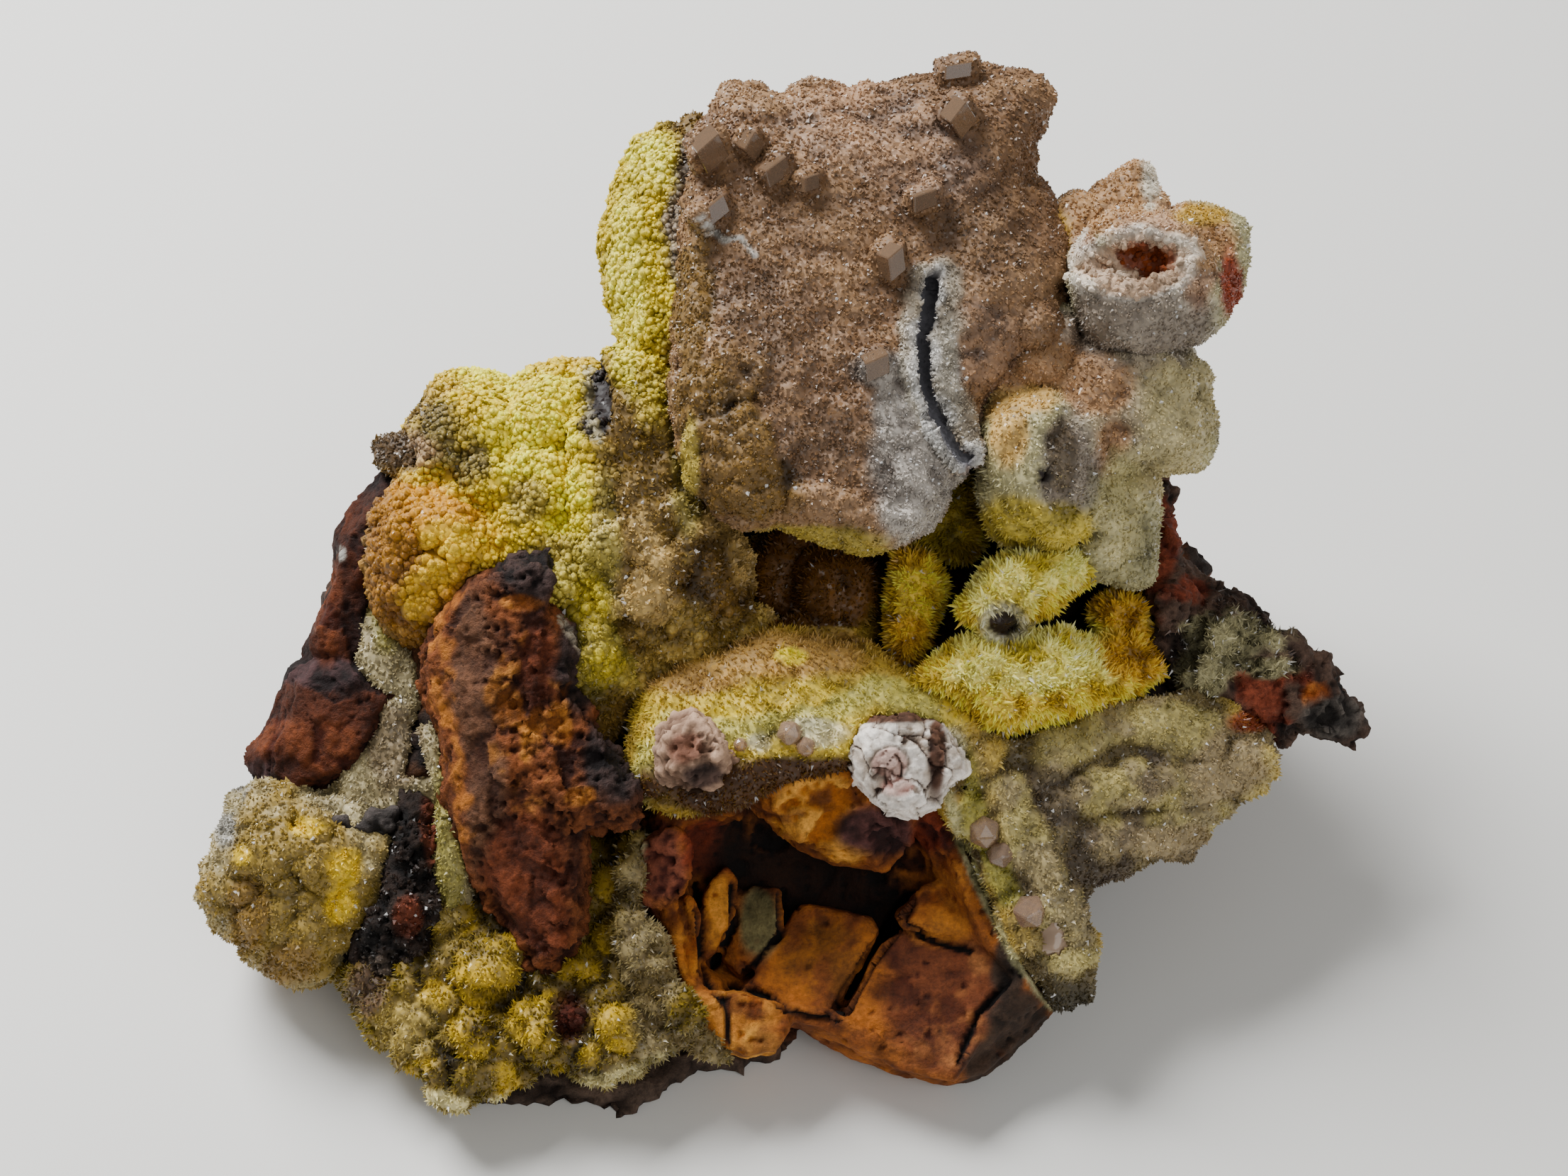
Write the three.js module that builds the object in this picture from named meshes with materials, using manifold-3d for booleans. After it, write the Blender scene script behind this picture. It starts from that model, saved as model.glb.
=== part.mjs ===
// Mimetite on limonite: a loose cabinet specimen, 116 mm wide, with a tan druse slab on top.
// Units are millimetres. +X is the viewer's right, +Y points away from the viewer, +Z is up,
// and the table is z = 0.
//
// A mineral lump has no straight axis to measure along, so places are given as the specimen is
// seen from its best side: u to the right, v upwards, and w towards the viewer.
import * as THREE from "three";
import { ImprovedNoise } from "three/addons/math/ImprovedNoise.js";
import { mergeVertices } from "three/addons/utils/BufferGeometryUtils.js";
import Module from "manifold-3d";

// The view that the outlines are drawn in
const VIEW_ELEVATION = THREE.MathUtils.degToRad(50);
const VIEW_DISTANCE = 230;
const MIDDLE_HEIGHT = 30;
const RIGHTWARDS = new THREE.Vector3(1, 0, 0);
const UPWARDS = new THREE.Vector3(0, Math.sin(VIEW_ELEVATION), Math.cos(VIEW_ELEVATION));
const TOWARDS = new THREE.Vector3(0, -Math.cos(VIEW_ELEVATION), Math.sin(VIEW_ELEVATION));

// Fit and finish
const JOINT_GAP = 0.45;
const TABLE_CUTTER = 400;
const MERGE_WITHIN = 1e-4;
const PARALLEL = 1e-9;
const EDGE_SLACK = 1e-6;

// Relief: the offsets that keep its three axes, and the two ways it moves a lump, unlike
const THIRD_AXIS_SKEW = 0.37;
const LIFT_SEED_STEP = 50;
const KNOB_BUMP = 0.1;
const KNOB_BUMP_SPACING = 1.3;

// Shared shapes
const CALCITE_LEAN = 0.22;
const HOLLOW_BLOCK_DEPTH = 12;

// How far out each ring of a lump lies, as a share of its outline, from the front pole round
const FINE_RINGS = [0, 0.22, 0.42, 0.6, 0.76, 0.9, 1];
const RINGS = [0, 0.38, 0.68, 0.9, 1];
const COARSE_RINGS = [0, 0.65, 1];
const BACK_RINGS = [0.75, 0];

const wasm = await Module();
wasm.setup();
const perlin = new ImprovedNoise();

// The point that the viewer sees at (u, v), w nearer than the middle of the specimen.
function seen(u, v, w) {
  const shrink = 1 - w / VIEW_DISTANCE;
  return new THREE.Vector3(0, 0, MIDDLE_HEIGHT)
    .addScaledVector(RIGHTWARDS, u * shrink)
    .addScaledVector(UPWARDS, v * shrink)
    .addScaledVector(TOWARDS, w);
}

// A closed three.js geometry as a solid that can be joined and cut.
function solidOf(geometry) {
  const bare = geometry.index ? geometry.toNonIndexed() : geometry.clone();
  bare.deleteAttribute("normal");
  bare.deleteAttribute("uv");
  const merged = mergeVertices(bare, MERGE_WITHIN);
  return new wasm.Manifold(
    new wasm.Mesh({
      numProp: 3,
      vertProperties: new Float32Array(merged.attributes.position.array),
      triVerts: new Uint32Array(merged.index.array),
    }),
  );
}

function geometryOf(solid) {
  const mesh = solid.getMesh();
  const geometry = new THREE.BufferGeometry();
  geometry.setAttribute("position", new THREE.BufferAttribute(mesh.vertProperties, 3));
  geometry.setIndex(new THREE.BufferAttribute(mesh.triVerts, 1));
  geometry.computeVertexNormals();
  return geometry;
}

// Moves every vertex of a geometry through a function of its place.
function reshape(geometry, place) {
  const position = geometry.attributes.position;
  const from = new THREE.Vector3();
  for (let i = 0; i < position.count; i++) {
    from.fromBufferAttribute(position, i);
    const to = place(from, i);
    position.setXYZ(i, to.x, to.y, to.z);
  }
  return geometry;
}

function middleOf(outline) {
  const sum = outline.reduce(([a, b], [u, v]) => [a + u, b + v], [0, 0]);
  return sum.map((total) => total / outline.length);
}

// How far the outline is from its centre in one direction.
function reach(outline, [cu, cv], angle) {
  const du = Math.cos(angle);
  const dv = Math.sin(angle);
  let farthest = 0;
  outline.forEach(([u0, v0], i) => {
    const [u1, v1] = outline[(i + 1) % outline.length];
    const eu = u1 - u0;
    const ev = v1 - v0;
    const across = du * ev - dv * eu;
    if (Math.abs(across) < PARALLEL) return;
    const along = ((u0 - cu) * ev - (v0 - cv) * eu) / across;
    const share = ((u0 - cu) * dv - (v0 - cv) * du) / across;
    if (share >= -EDGE_SLACK && share <= 1 + EDGE_SLACK) farthest = Math.max(farthest, along);
  });
  return farthest;
}

// Uneven relief, the sum of waves given as [height, spacing].
function relief(bumps, u, v, w, seed) {
  const skewed = THIRD_AXIS_SKEW * seed;
  return bumps.reduce(
    (sum, [height, spacing]) =>
      sum + height * perlin.noise(u / spacing + seed, v / spacing - seed, w / spacing + skewed),
    0,
  );
}

// A lump of mineral: rings shrink from the outline to its centre, swelling towards the viewer by
// front and away by back. tilt leans its middle plane along u and v.
function lump({
  outline,
  centre = middleOf(outline),
  depth,
  tilt = [0, 0],
  front,
  back,
  rings = RINGS,
  boxy = 0.8,
  bumps = [[0.9, 5]],
  seed = 1,
}) {
  const [cu, cv] = centre;
  const plane = (u, v) => depth + tilt[0] * (u - cu) + tilt[1] * (v - cv);
  const swell = (ring) => Math.max(0, 1 - ring ** (2 / boxy)) ** (boxy / 2);
  const round = THREE.ShapeUtils.isClockWise(outline.map(([x, y]) => ({ x, y })))
    ? [...outline].reverse()
    : outline;
  return {
    solid(grow = 0) {
      const rows = [
        ...rings.map((ring) => [ring, front, 1]),
        ...BACK_RINGS.map((ring) => [ring, back, -1]),
      ];
      const ball = new THREE.SphereGeometry(1, round.length, rows.length - 1);
      const columns = round.length + 1;
      reshape(ball, (_, index) => {
        const [ring, deep, side] = rows[Math.floor(index / columns)];
        const [pu, pv] = round[(index % columns) % round.length];
        const rise = side * swell(ring);
        const u = cu + (pu - cu) * ring;
        const v = cv + (pv - cv) * ring;
        const w = plane(u, v) + rise * deep;
        const out = (grow + relief(bumps, u, v, w, seed)) / Math.hypot(pu - cu, pv - cv);
        const lift = grow + relief(bumps, u, v, w, seed + LIFT_SEED_STEP);
        return seen(u + (pu - cu) * ring * out, v + (pv - cv) * ring * out, w + rise * lift);
      });
      return solidOf(ball);
    },
    // The depth of its front surface at (u, v).
    surface(u, v) {
      const away = Math.hypot(u - cu, v - cv) / reach(outline, centre, Math.atan2(v - cv, u - cu));
      return plane(u, v) + front * swell(Math.min(1, away));
    },
  };
}

// A flat-faced block: its front face is the outline on a leaning plane, and it goes thick deep.
function block({ outline, depth, tilt = [0, 0], thick }) {
  const [cu, cv] = middleOf(outline);
  return {
    solid(grow = 0) {
      const points = outline.map(([u, v]) => {
        const far = Math.hypot(u - cu, v - cv);
        return new THREE.Vector2(u + (grow * (u - cu)) / far, v + (grow * (v - cv)) / far);
      });
      const depthTotal = thick + 2 * grow;
      const slab = new THREE.ExtrudeGeometry(new THREE.Shape(points), {
        depth: depthTotal,
        bevelEnabled: false,
      });
      reshape(slab, ({ x, y, z }) =>
        seen(x, y, depth + tilt[0] * (x - cu) + tilt[1] * (y - cv) + z + grow - depthTotal),
      );
      return solidOf(slab);
    },
  };
}

// A round knob whose middle is at (u, v), sunk by its share of the radius into a surface.
function knob({ at: [u, v], radius, on, depth = on.surface(u, v), sunk = 0.35, seed = 1 }) {
  const ring = [0, 60, 120, 180, 240, 300].map((degrees) => {
    const angle = THREE.MathUtils.degToRad(degrees);
    return [u + radius * Math.cos(angle), v + radius * Math.sin(angle)];
  });
  return lump({
    outline: ring,
    depth: depth - sunk * radius,
    front: radius,
    back: radius,
    rings: COARSE_RINGS,
    boxy: 1,
    bumps: [[KNOB_BUMP * radius, KNOB_BUMP_SPACING]],
    seed,
  });
}

// A rhomb of calcite: a box leaning to one side, turned and half sunk into a surface.
function rhomb({ at: [u, v], size, turn, on, proud = 0.3 }) {
  const [a, b, c] = size;
  return {
    solid(grow = 0) {
      const box = new THREE.BoxGeometry(a + 2 * grow, b + 2 * grow, c + 2 * grow);
      box.applyMatrix4(new THREE.Matrix4().makeShear(0, 0, CALCITE_LEAN, 0, 0, 0));
      box.applyMatrix4(new THREE.Matrix4().makeRotationFromEuler(new THREE.Euler(...turn)));
      const w = on.surface(u, v) + proud * c;
      reshape(box, ({ x, y, z }) => seen(u + x, v + y, w + z));
      return solidOf(box);
    },
  };
}

// A lump of rock placed in the specimen's own frame, where the viewer's outline doesn't matter.
function rock({ at, size, detail = 2, boxy = 0.75, bumps = [[5, 15], [2.5, 7]], seed = 1 }) {
  return {
    solid(grow = 0) {
      const ball = new THREE.IcosahedronGeometry(1, detail);
      reshape(ball, (n) => {
        const square = new THREE.Vector3(
          Math.sign(n.x) * Math.abs(n.x) ** boxy,
          Math.sign(n.y) * Math.abs(n.y) ** boxy,
          Math.sign(n.z) * Math.abs(n.z) ** boxy,
        );
        const place = square.multiply(new THREE.Vector3(...size));
        const out = grow + relief(bumps, place.x, place.y, place.z, seed);
        return place.addScaledVector(n, out).add(new THREE.Vector3(...at));
      });
      return solidOf(ball);
    },
  };
}

// Materials: the colours of the minerals
const mineral = (color, roughness) => new THREE.MeshStandardMaterial({ color, roughness, metalness: 0 });
const TAN_DRUSE = mineral("#8a7058", 0.55);
const OLIVE_DRUSE = mineral("#83763c", 0.5);
const YELLOW_MIMETITE = mineral("#cdbb45", 0.45);
const LEMON_MIMETITE = mineral("#d9d05a", 0.5);
const AMBER_MIMETITE = mineral("#b98a2c", 0.4);
const PALE_DRUSE = mineral("#b5ad8c", 0.5);
const RUST_LIMONITE = mineral("#7a3b1d", 0.9);
const ORANGE_LIMONITE = mineral("#a8591f", 0.85);
const DARK_LIMONITE = mineral("#43342e", 0.8);
const WHITE_CORE = mineral("#cfc6bb", 0.85);
const PINK_CORE = mineral("#8d7468", 0.85);
const CLEAR_CALCITE = mineral("#c9b8a6", 0.15);

// The tan slab on top
const slab = lump({
  outline: [
    [-10.2, 14], [-10.2, 20], [-9.4, 30], [-9.6, 38], [-9.8, 43], [-9, 46.6], [-6, 48.6],
    [-3, 49.2], [0, 48.4], [2.5, 49.6], [5.5, 48.9], [9, 50], [12, 51.2], [15, 52], [19.5, 52.9],
    [23, 52.4], [25.6, 51.4], [26.6, 49.3], [26, 46.5], [25, 44], [25.3, 41.6], [27.2, 40.2],
    [28.2, 37.4], [29.8, 35.4], [29.8, 32], [28.6, 28.6], [27.4, 25.6], [25, 23.6], [23, 21],
    [20.4, 18.6], [19, 15.5], [18.6, 12.4], [16.6, 11.2], [15.4, 7.4], [12.6, 4.4], [9.6, 3.4],
    [7, 4.4], [4.4, 5], [1.6, 6.6], [-0.6, 8], [-3.4, 7], [-6, 7.4], [-9, 10.4],
  ],
  centre: [8, 28],
  depth: 8,
  tilt: [-0.05, -0.2],
  front: 6.5,
  back: 11,
  rings: FINE_RINGS,
  boxy: 0.7,
  bumps: [[1.3, 9], [0.5, 3.2]],
  seed: 3,
});
// A broken seam crosses it: a raised rim with a dark slot in its middle.
const seamRim = block({
  outline: [
    [12.6, 31], [14, 32.4], [16, 32], [17, 29], [17.2, 25], [17.8, 21], [18.8, 16.5], [19.4, 12.6],
    [18.4, 11.8], [16.8, 13], [15, 15.5], [13.6, 18.6], [12.6, 22], [12.4, 27],
  ],
  depth: 14.6,
  tilt: [-0.5, -0.24],
  thick: 4,
});
const seamSlot = block({
  outline: [
    [13.8, 31], [14.6, 31.5], [15.4, 30.6], [14.7, 26], [14.9, 22], [16.2, 18.4], [18.5, 15],
    [19, 12.9], [18, 12.6], [16, 15.4], [14.2, 18.6], [13.5, 22], [13.6, 27],
  ],
  depth: 17,
  tilt: [-0.5, -0.24],
  thick: 4.4,
});
const calcites = [
  rhomb({ at: [14, 39.4], size: [3.2, 2.3, 2.6], turn: [0.5, 0.3, 0.25], on: slab }),
  rhomb({ at: [10.8, 33], size: [2.8, 3.4, 2.6], turn: [0.5, 0.7, 0.4], on: slab }),
  rhomb({ at: [17.6, 47.6], size: [3.4, 3.4, 3], turn: [0.6, 0.5, 0.8], on: slab }),
  rhomb({ at: [17.4, 52.2], size: [3.8, 2, 2.4], turn: [0.2, 0.2, 0.15], on: slab }),
  rhomb({ at: [-1, 42.2], size: [3.6, 2.4, 2.4], turn: [0.4, 0.5, 0.5], on: slab }),
  rhomb({ at: [2.4, 41], size: [2.4, 2, 2.2], turn: [0.3, 0.6, 0.2], on: slab }),
  rhomb({ at: [9.2, 22.6], size: [3.2, 2.8, 2.4], turn: [0.6, 0.3, 0.3], on: slab }),
  rhomb({ at: [-7.6, 44.4], size: [3.8, 3.8, 3.2], turn: [0.7, 0.4, 0.6], on: slab }),
  rhomb({ at: [-3.4, 44.8], size: [2.8, 2.6, 2.4], turn: [0.5, 0.6, 0.9], on: slab }),
  rhomb({ at: [-7, 38.2], size: [3.4, 2.4, 2], turn: [0.3, 0.4, 0.6], on: slab }),
];
const slabKnobs = [
  knob({ at: [25.4, 26.6], radius: 2.6, on: slab, seed: 5 }),
  knob({ at: [-4, 48], radius: 2.2, on: slab, depth: 3, seed: 6 }),
  knob({ at: [3.2, 48.8], radius: 2.4, on: slab, depth: 3, seed: 7 }),
];

// The druse behind and left of the slab
const rearCrust = lump({
  outline: [
    [-9, 47.4], [-12, 45.6], [-14.4, 43], [-15.6, 40], [-16.2, 37], [-16.8, 34], [-16.8, 31],
    [-16.3, 29], [-15.4, 27.6], [-15.2, 25], [-14.8, 23], [-12, 20], [-6, 18], [-2, 30], [-4, 44],
  ],
  centre: [-9, 33],
  depth: 2,
  tilt: [0.1, -0.2],
  front: 5,
  back: 9,
  rings: COARSE_RINGS,
  bumps: [[1.1, 5], [0.5, 2]],
  seed: 11,
});

// The long ridge between the slab and the yellow druse
const ridge = lump({
  outline: [
    [-18, 22.2], [-16, 22.7], [-13.4, 23], [-11, 21.8], [-9.6, 18], [-9.4, 14], [-8.8, 9],
    [-6.6, 6], [-5, 3], [-4.6, 0], [-5, -4], [-8, -7], [-12, -7], [-15, -5.4], [-17.6, -1],
    [-19, 4], [-19.9, 9], [-20, 14], [-19.8, 19],
  ],
  centre: [-13.4, 8],
  depth: 5,
  tilt: [-0.25, -0.1],
  front: 6,
  back: 10,
  boxy: 0.85,
  bumps: [[1, 5], [0.45, 2]],
  seed: 13,
});
const ridgeKnobs = lump({
  outline: [
    [-18, -3.4], [-14, -2.2], [-9, -2.8], [-5, -3.2], [-2.2, -4], [-1.6, -6], [-3.6, -8],
    [-7, -9.6], [-9.6, -10.6], [-12, -12.2], [-15, -12.4], [-17.4, -10.4], [-18.6, -7],
  ],
  depth: 1,
  tilt: [0, -0.15],
  front: 5,
  back: 9,
  rings: COARSE_RINGS,
  bumps: [[1.3, 2.6]],
  seed: 17,
});

// The yellow druse on the left
const yellowBed = lump({
  outline: [
    [-19.4, 21.4], [-23, 21.3], [-25.2, 20], [-27, 18.2], [-29, 18.4], [-30.6, 19.6], [-33, 19.4],
    [-35, 19.1], [-36, 17], [-37, 15], [-41.2, 14.8], [-41, 12.8], [-38, 9.6], [-38, 6], [-34, 1],
    [-27, -1], [-20, -4], [-17, -1], [-16, 6], [-16, 14], [-17, 19],
  ],
  centre: [-26.5, 10],
  depth: 0,
  tilt: [0.06, -0.12],
  front: 5.5,
  back: 12,
  bumps: [[1.5, 4.4], [0.5, 2]],
  seed: 19,
});
const yellowKnobs = [
  [-29.6, 15.4, 2.6], [-33.8, 14.4, 2.8], [-23.6, 16.6, 3], [-24.4, 10, 3], [-29, 10.4, 2.2],
  [-26, 5.4, 2.4], [-21.2, 4.4, 2.2],
].map(([u, v, radius], i) => knob({ at: [u, v], radius, on: yellowBed, seed: 20 + i }));

const amberLobe = lump({
  outline: [
    [-40.2, 8], [-37.5, 8.8], [-34, 8.2], [-31, 6.8], [-28.2, 4.4], [-28.6, 1.6], [-32.5, -1],
    [-34.5, -3], [-36, -4.6], [-37.6, -5], [-39.6, -3.6], [-40.8, -0.6], [-40.8, 3],
  ],
  depth: 3,
  front: 5,
  back: 7,
  rings: COARSE_RINGS,
  bumps: [[1.4, 3], [0.4, 1.6]],
  seed: 31,
});

// Sparkling druse between the rust slab and the ridge
const sideDruse = lump({
  outline: [
    [-24.4, 2.8], [-21, 3], [-19, 2], [-17.4, -2], [-16.6, -5.4], [-16.2, -8.4], [-15.6, -11],
    [-16, -15], [-18.4, -17], [-21, -15], [-23, -8], [-25, -2],
  ],
  depth: 4,
  front: 4.5,
  back: 7,
  rings: COARSE_RINGS,
  bumps: [[1.3, 3]],
  seed: 33,
});

// The upright slab of rusty limonite
const rustSlab = lump({
  outline: [
    [-35.6, -3.6], [-34, -1], [-31.6, 1], [-29.4, 1.8], [-27.6, 3.1], [-25.6, 3.6], [-24, 3.8],
    [-23.2, 3], [-23.4, 1.4], [-23.8, -0.6], [-22.8, -3], [-21, -5], [-21, -7], [-21.6, -9],
    [-20, -12], [-18, -15], [-16.2, -17], [-15, -19.4], [-13.9, -22], [-14.4, -24.6], [-17, -24.9],
    [-19.4, -25.2], [-20, -28], [-20.3, -31.6], [-21, -35], [-22, -37.6], [-24.4, -38.6],
    [-26, -37.2], [-28, -34.4], [-30.4, -31.6], [-32.4, -28], [-33.4, -24], [-33.8, -20],
    [-34.4, -15], [-35.6, -10], [-36, -6],
  ],
  centre: [-26.6, -15],
  depth: 8.5,
  tilt: [0.12, 0.04],
  front: 4.6,
  back: 8,
  boxy: 0.6,
  bumps: [[1.8, 8], [0.9, 3]],
  seed: 41,
});

// The triangular rust rock on the left, two lumps grown together
const leftRock = [
  lump({
    outline: [
      [-40, 12.3], [-38.4, 11], [-38.4, 9], [-40.4, 6], [-41.4, 2], [-42, -3], [-41.4, -8],
      [-44, -11], [-48.4, -9.4], [-49, -7], [-47.6, -4], [-46, 0], [-45, 5], [-43, 8.6],
    ],
    centre: [-43.6, 0],
    depth: -2,
    front: 4.5,
    back: 8,
    rings: COARSE_RINGS,
    boxy: 0.7,
    bumps: [[1.5, 5]],
    seed: 43,
  }),
  lump({
    outline: [
      [-42, -7], [-39.4, -9.4], [-37.4, -10.2], [-38.8, -12], [-40, -14.6], [-43, -19.2],
      [-46, -20.8], [-49.4, -21.6], [-52.4, -24.6], [-54.4, -26.6], [-54, -23], [-53.7, -20],
      [-54.3, -17.3], [-51, -12.4], [-49.7, -8], [-46, -6],
    ],
    centre: [-46.4, -14],
    depth: -0.5,
    tilt: [0.15, 0],
    front: 4.5,
    back: 9,
    rings: COARSE_RINGS,
    boxy: 0.65,
    bumps: [[1.6, 6], [0.6, 2.6]],
    seed: 44,
  }),
];

// Pale druse under and between the two rust rocks
const paleBed = lump({
  outline: [
    [-44, -1], [-41, 0], [-38, -3], [-35, -5], [-33, -12], [-32, -22], [-34, -34], [-40, -34],
    [-46, -26], [-46, -20], [-43, -12],
  ],
  depth: 0.5,
  tilt: [0.1, -0.1],
  front: 4,
  back: 9,
  rings: COARSE_RINGS,
  bumps: [[1.2, 4]],
  seed: 47,
});
const palePeak = lump({
  outline: [
    [-36.4, -14.4], [-35.4, -13.4], [-34, -16], [-33.4, -22], [-32.6, -28], [-31.4, -32],
    [-33.4, -34], [-34.6, -31], [-34.8, -26], [-34.4, -20],
  ],
  depth: 6.5,
  front: 2.4,
  back: 6,
  rings: COARSE_RINGS,
  bumps: [[0.5, 2]],
  seed: 48,
});

const lowerLobe = lump({
  outline: [
    [-54.2, -20], [-50, -21.4], [-46, -20.6], [-41, -22], [-39, -25], [-39.4, -28], [-41, -31],
    [-43, -35], [-44.6, -37.6], [-47, -38], [-50, -38.1], [-52.2, -36.6], [-55, -34],
    [-56.6, -31], [-57.1, -28.6], [-57, -26], [-56.2, -24], [-55.6, -21],
  ],
  depth: 1.5,
  front: 5.5,
  back: 7,
  bumps: [[1.3, 3.6], [0.5, 1.8]],
  seed: 51,
});

const dumbbell = [
  lump({
    outline: [[-46.6, -24], [-45.6, -23], [-44, -23.2], [-43.2, -24.2], [-44.2, -25.2], [-45.8, -25.2]],
    depth: 6.2,
    front: 1.1,
    back: 2,
    rings: COARSE_RINGS,
    bumps: [],
  }),
  lump({
    outline: [
      [-44.6, -24.2], [-43, -23.6], [-41.4, -22.4], [-39, -22.2], [-38.4, -24], [-40, -25.4],
      [-42, -25],
    ],
    depth: 6,
    front: 1.4,
    back: 2,
    rings: COARSE_RINGS,
    bumps: [[0.2, 2]],
  }),
];

const darkRock = lump({
  outline: [
    [-38.2, -20.6], [-35.6, -20.8], [-34.5, -24], [-35, -27], [-34.8, -30], [-34.2, -33],
    [-35, -36], [-36, -38.6], [-37.6, -41], [-39.6, -42.2], [-41.6, -41.2], [-43.6, -39.2],
    [-43.9, -36], [-42.6, -34], [-41.4, -31.6], [-40.2, -29.4], [-39.8, -26], [-39.4, -23],
  ],
  centre: [-38.6, -32],
  depth: 4.5,
  front: 4.5,
  back: 7,
  rings: COARSE_RINGS,
  boxy: 0.7,
  bumps: [[1.2, 4], [0.7, 2]],
  seed: 53,
});

// The mimetite bed in front, with its round tufts
const frontBed = lump({
  outline: [
    [-34, -24], [-28, -26], [-20, -24], [-15.6, -26], [-14, -31], [-14.6, -36], [-12, -40],
    [-9, -44], [-9, -46.4], [-13, -47.6], [-16, -49], [-19, -49.6], [-21, -48.2], [-24, -48],
    [-27, -49], [-30, -50.2], [-33, -51.6], [-35, -50.6], [-37, -48.2], [-40, -45], [-42.6, -42.4],
    [-44.4, -39], [-42, -34], [-38, -28],
  ],
  centre: [-27, -38],
  depth: 4.5,
  tilt: [0, -0.35],
  front: 3.2,
  back: 9,
  boxy: 0.6,
  bumps: [[1.2, 4], [0.4, 1.8]],
  seed: 57,
});
const tufts = [
  [-30.2, -39, 3.5], [-25, -44.6, 3.2], [-31, -45, 2.6], [-33.2, -33.6, 2.3], [-21, -38.4, 2.4],
  [-16.6, -44.4, 2.4], [-17.6, -30.2, 1.9], [-17.8, -35, 2],
].map(([u, v, radius], i) => knob({ at: [u, v], radius, on: frontBed, seed: 60 + i }));
const rustNodule = knob({ at: [-21.7, -43.2], radius: 2.3, on: frontBed, sunk: 0, seed: 73 });

// The broken druse rim between the front bed and the hollow
const hollowRim = lump({
  outline: [
    [-14.6, -24], [-13.6, -26.6], [-14.6, -29], [-14.4, -33], [-12, -35], [-11.4, -39],
    [-10.4, -42.4], [-7, -45.4], [-5, -47.4], [-9, -47.2], [-12, -45], [-14.6, -42], [-16.4, -38],
    [-16.8, -34], [-16, -30], [-16, -26],
  ],
  centre: [-14.6, -36],
  depth: 8,
  tilt: [0.1, -0.05],
  front: 2.6,
  back: 7,
  rings: COARSE_RINGS,
  bumps: [[0.7, 3]],
  seed: 75,
});

// The hollow of blocky limonite: a thick wall, scooped out, with flat-faced blocks inside
const hollowWall = lump({
  outline: [
    [-13, -21], [-8, -20.6], [-3, -17.6], [3, -15.6], [8, -15], [14, -17], [17.4, -21], [19.6, -27],
    [22.4, -33], [25.6, -38.4], [28.2, -42.2], [24.6, -45.2], [22, -47.2], [19.4, -49.4],
    [16.6, -50.2], [12.6, -49.2], [8, -47.8], [4, -45.6], [0.6, -44], [-1, -46.6], [-4, -47.4],
    [-7, -46], [-10, -43.4], [-12, -39.6], [-12.6, -35], [-15, -32], [-15.8, -28.4], [-14.4, -24],
  ],
  centre: [4, -32],
  depth: 3,
  tilt: [0, -0.06],
  front: 6.5,
  back: 13,
  boxy: 0.55,
  bumps: [[1.2, 6]],
  seed: 81,
});
const scoop = lump({
  outline: [
    [-12, -22.6], [-6, -21.4], [-2, -18.8], [4, -17.4], [8, -20], [14, -21], [17, -24.4], [19, -30],
    [22, -36], [25, -40], [22, -44.6], [17, -48], [11, -47], [5, -44], [-1, -43], [-7, -43],
    [-11, -40], [-11.6, -34], [-13.6, -30], [-14, -26],
  ],
  centre: [3, -29],
  depth: 11,
  front: 8,
  back: 11.5,
  rings: COARSE_RINGS,
  boxy: 0.8,
  bumps: [[1, 5]],
  seed: 83,
});
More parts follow.
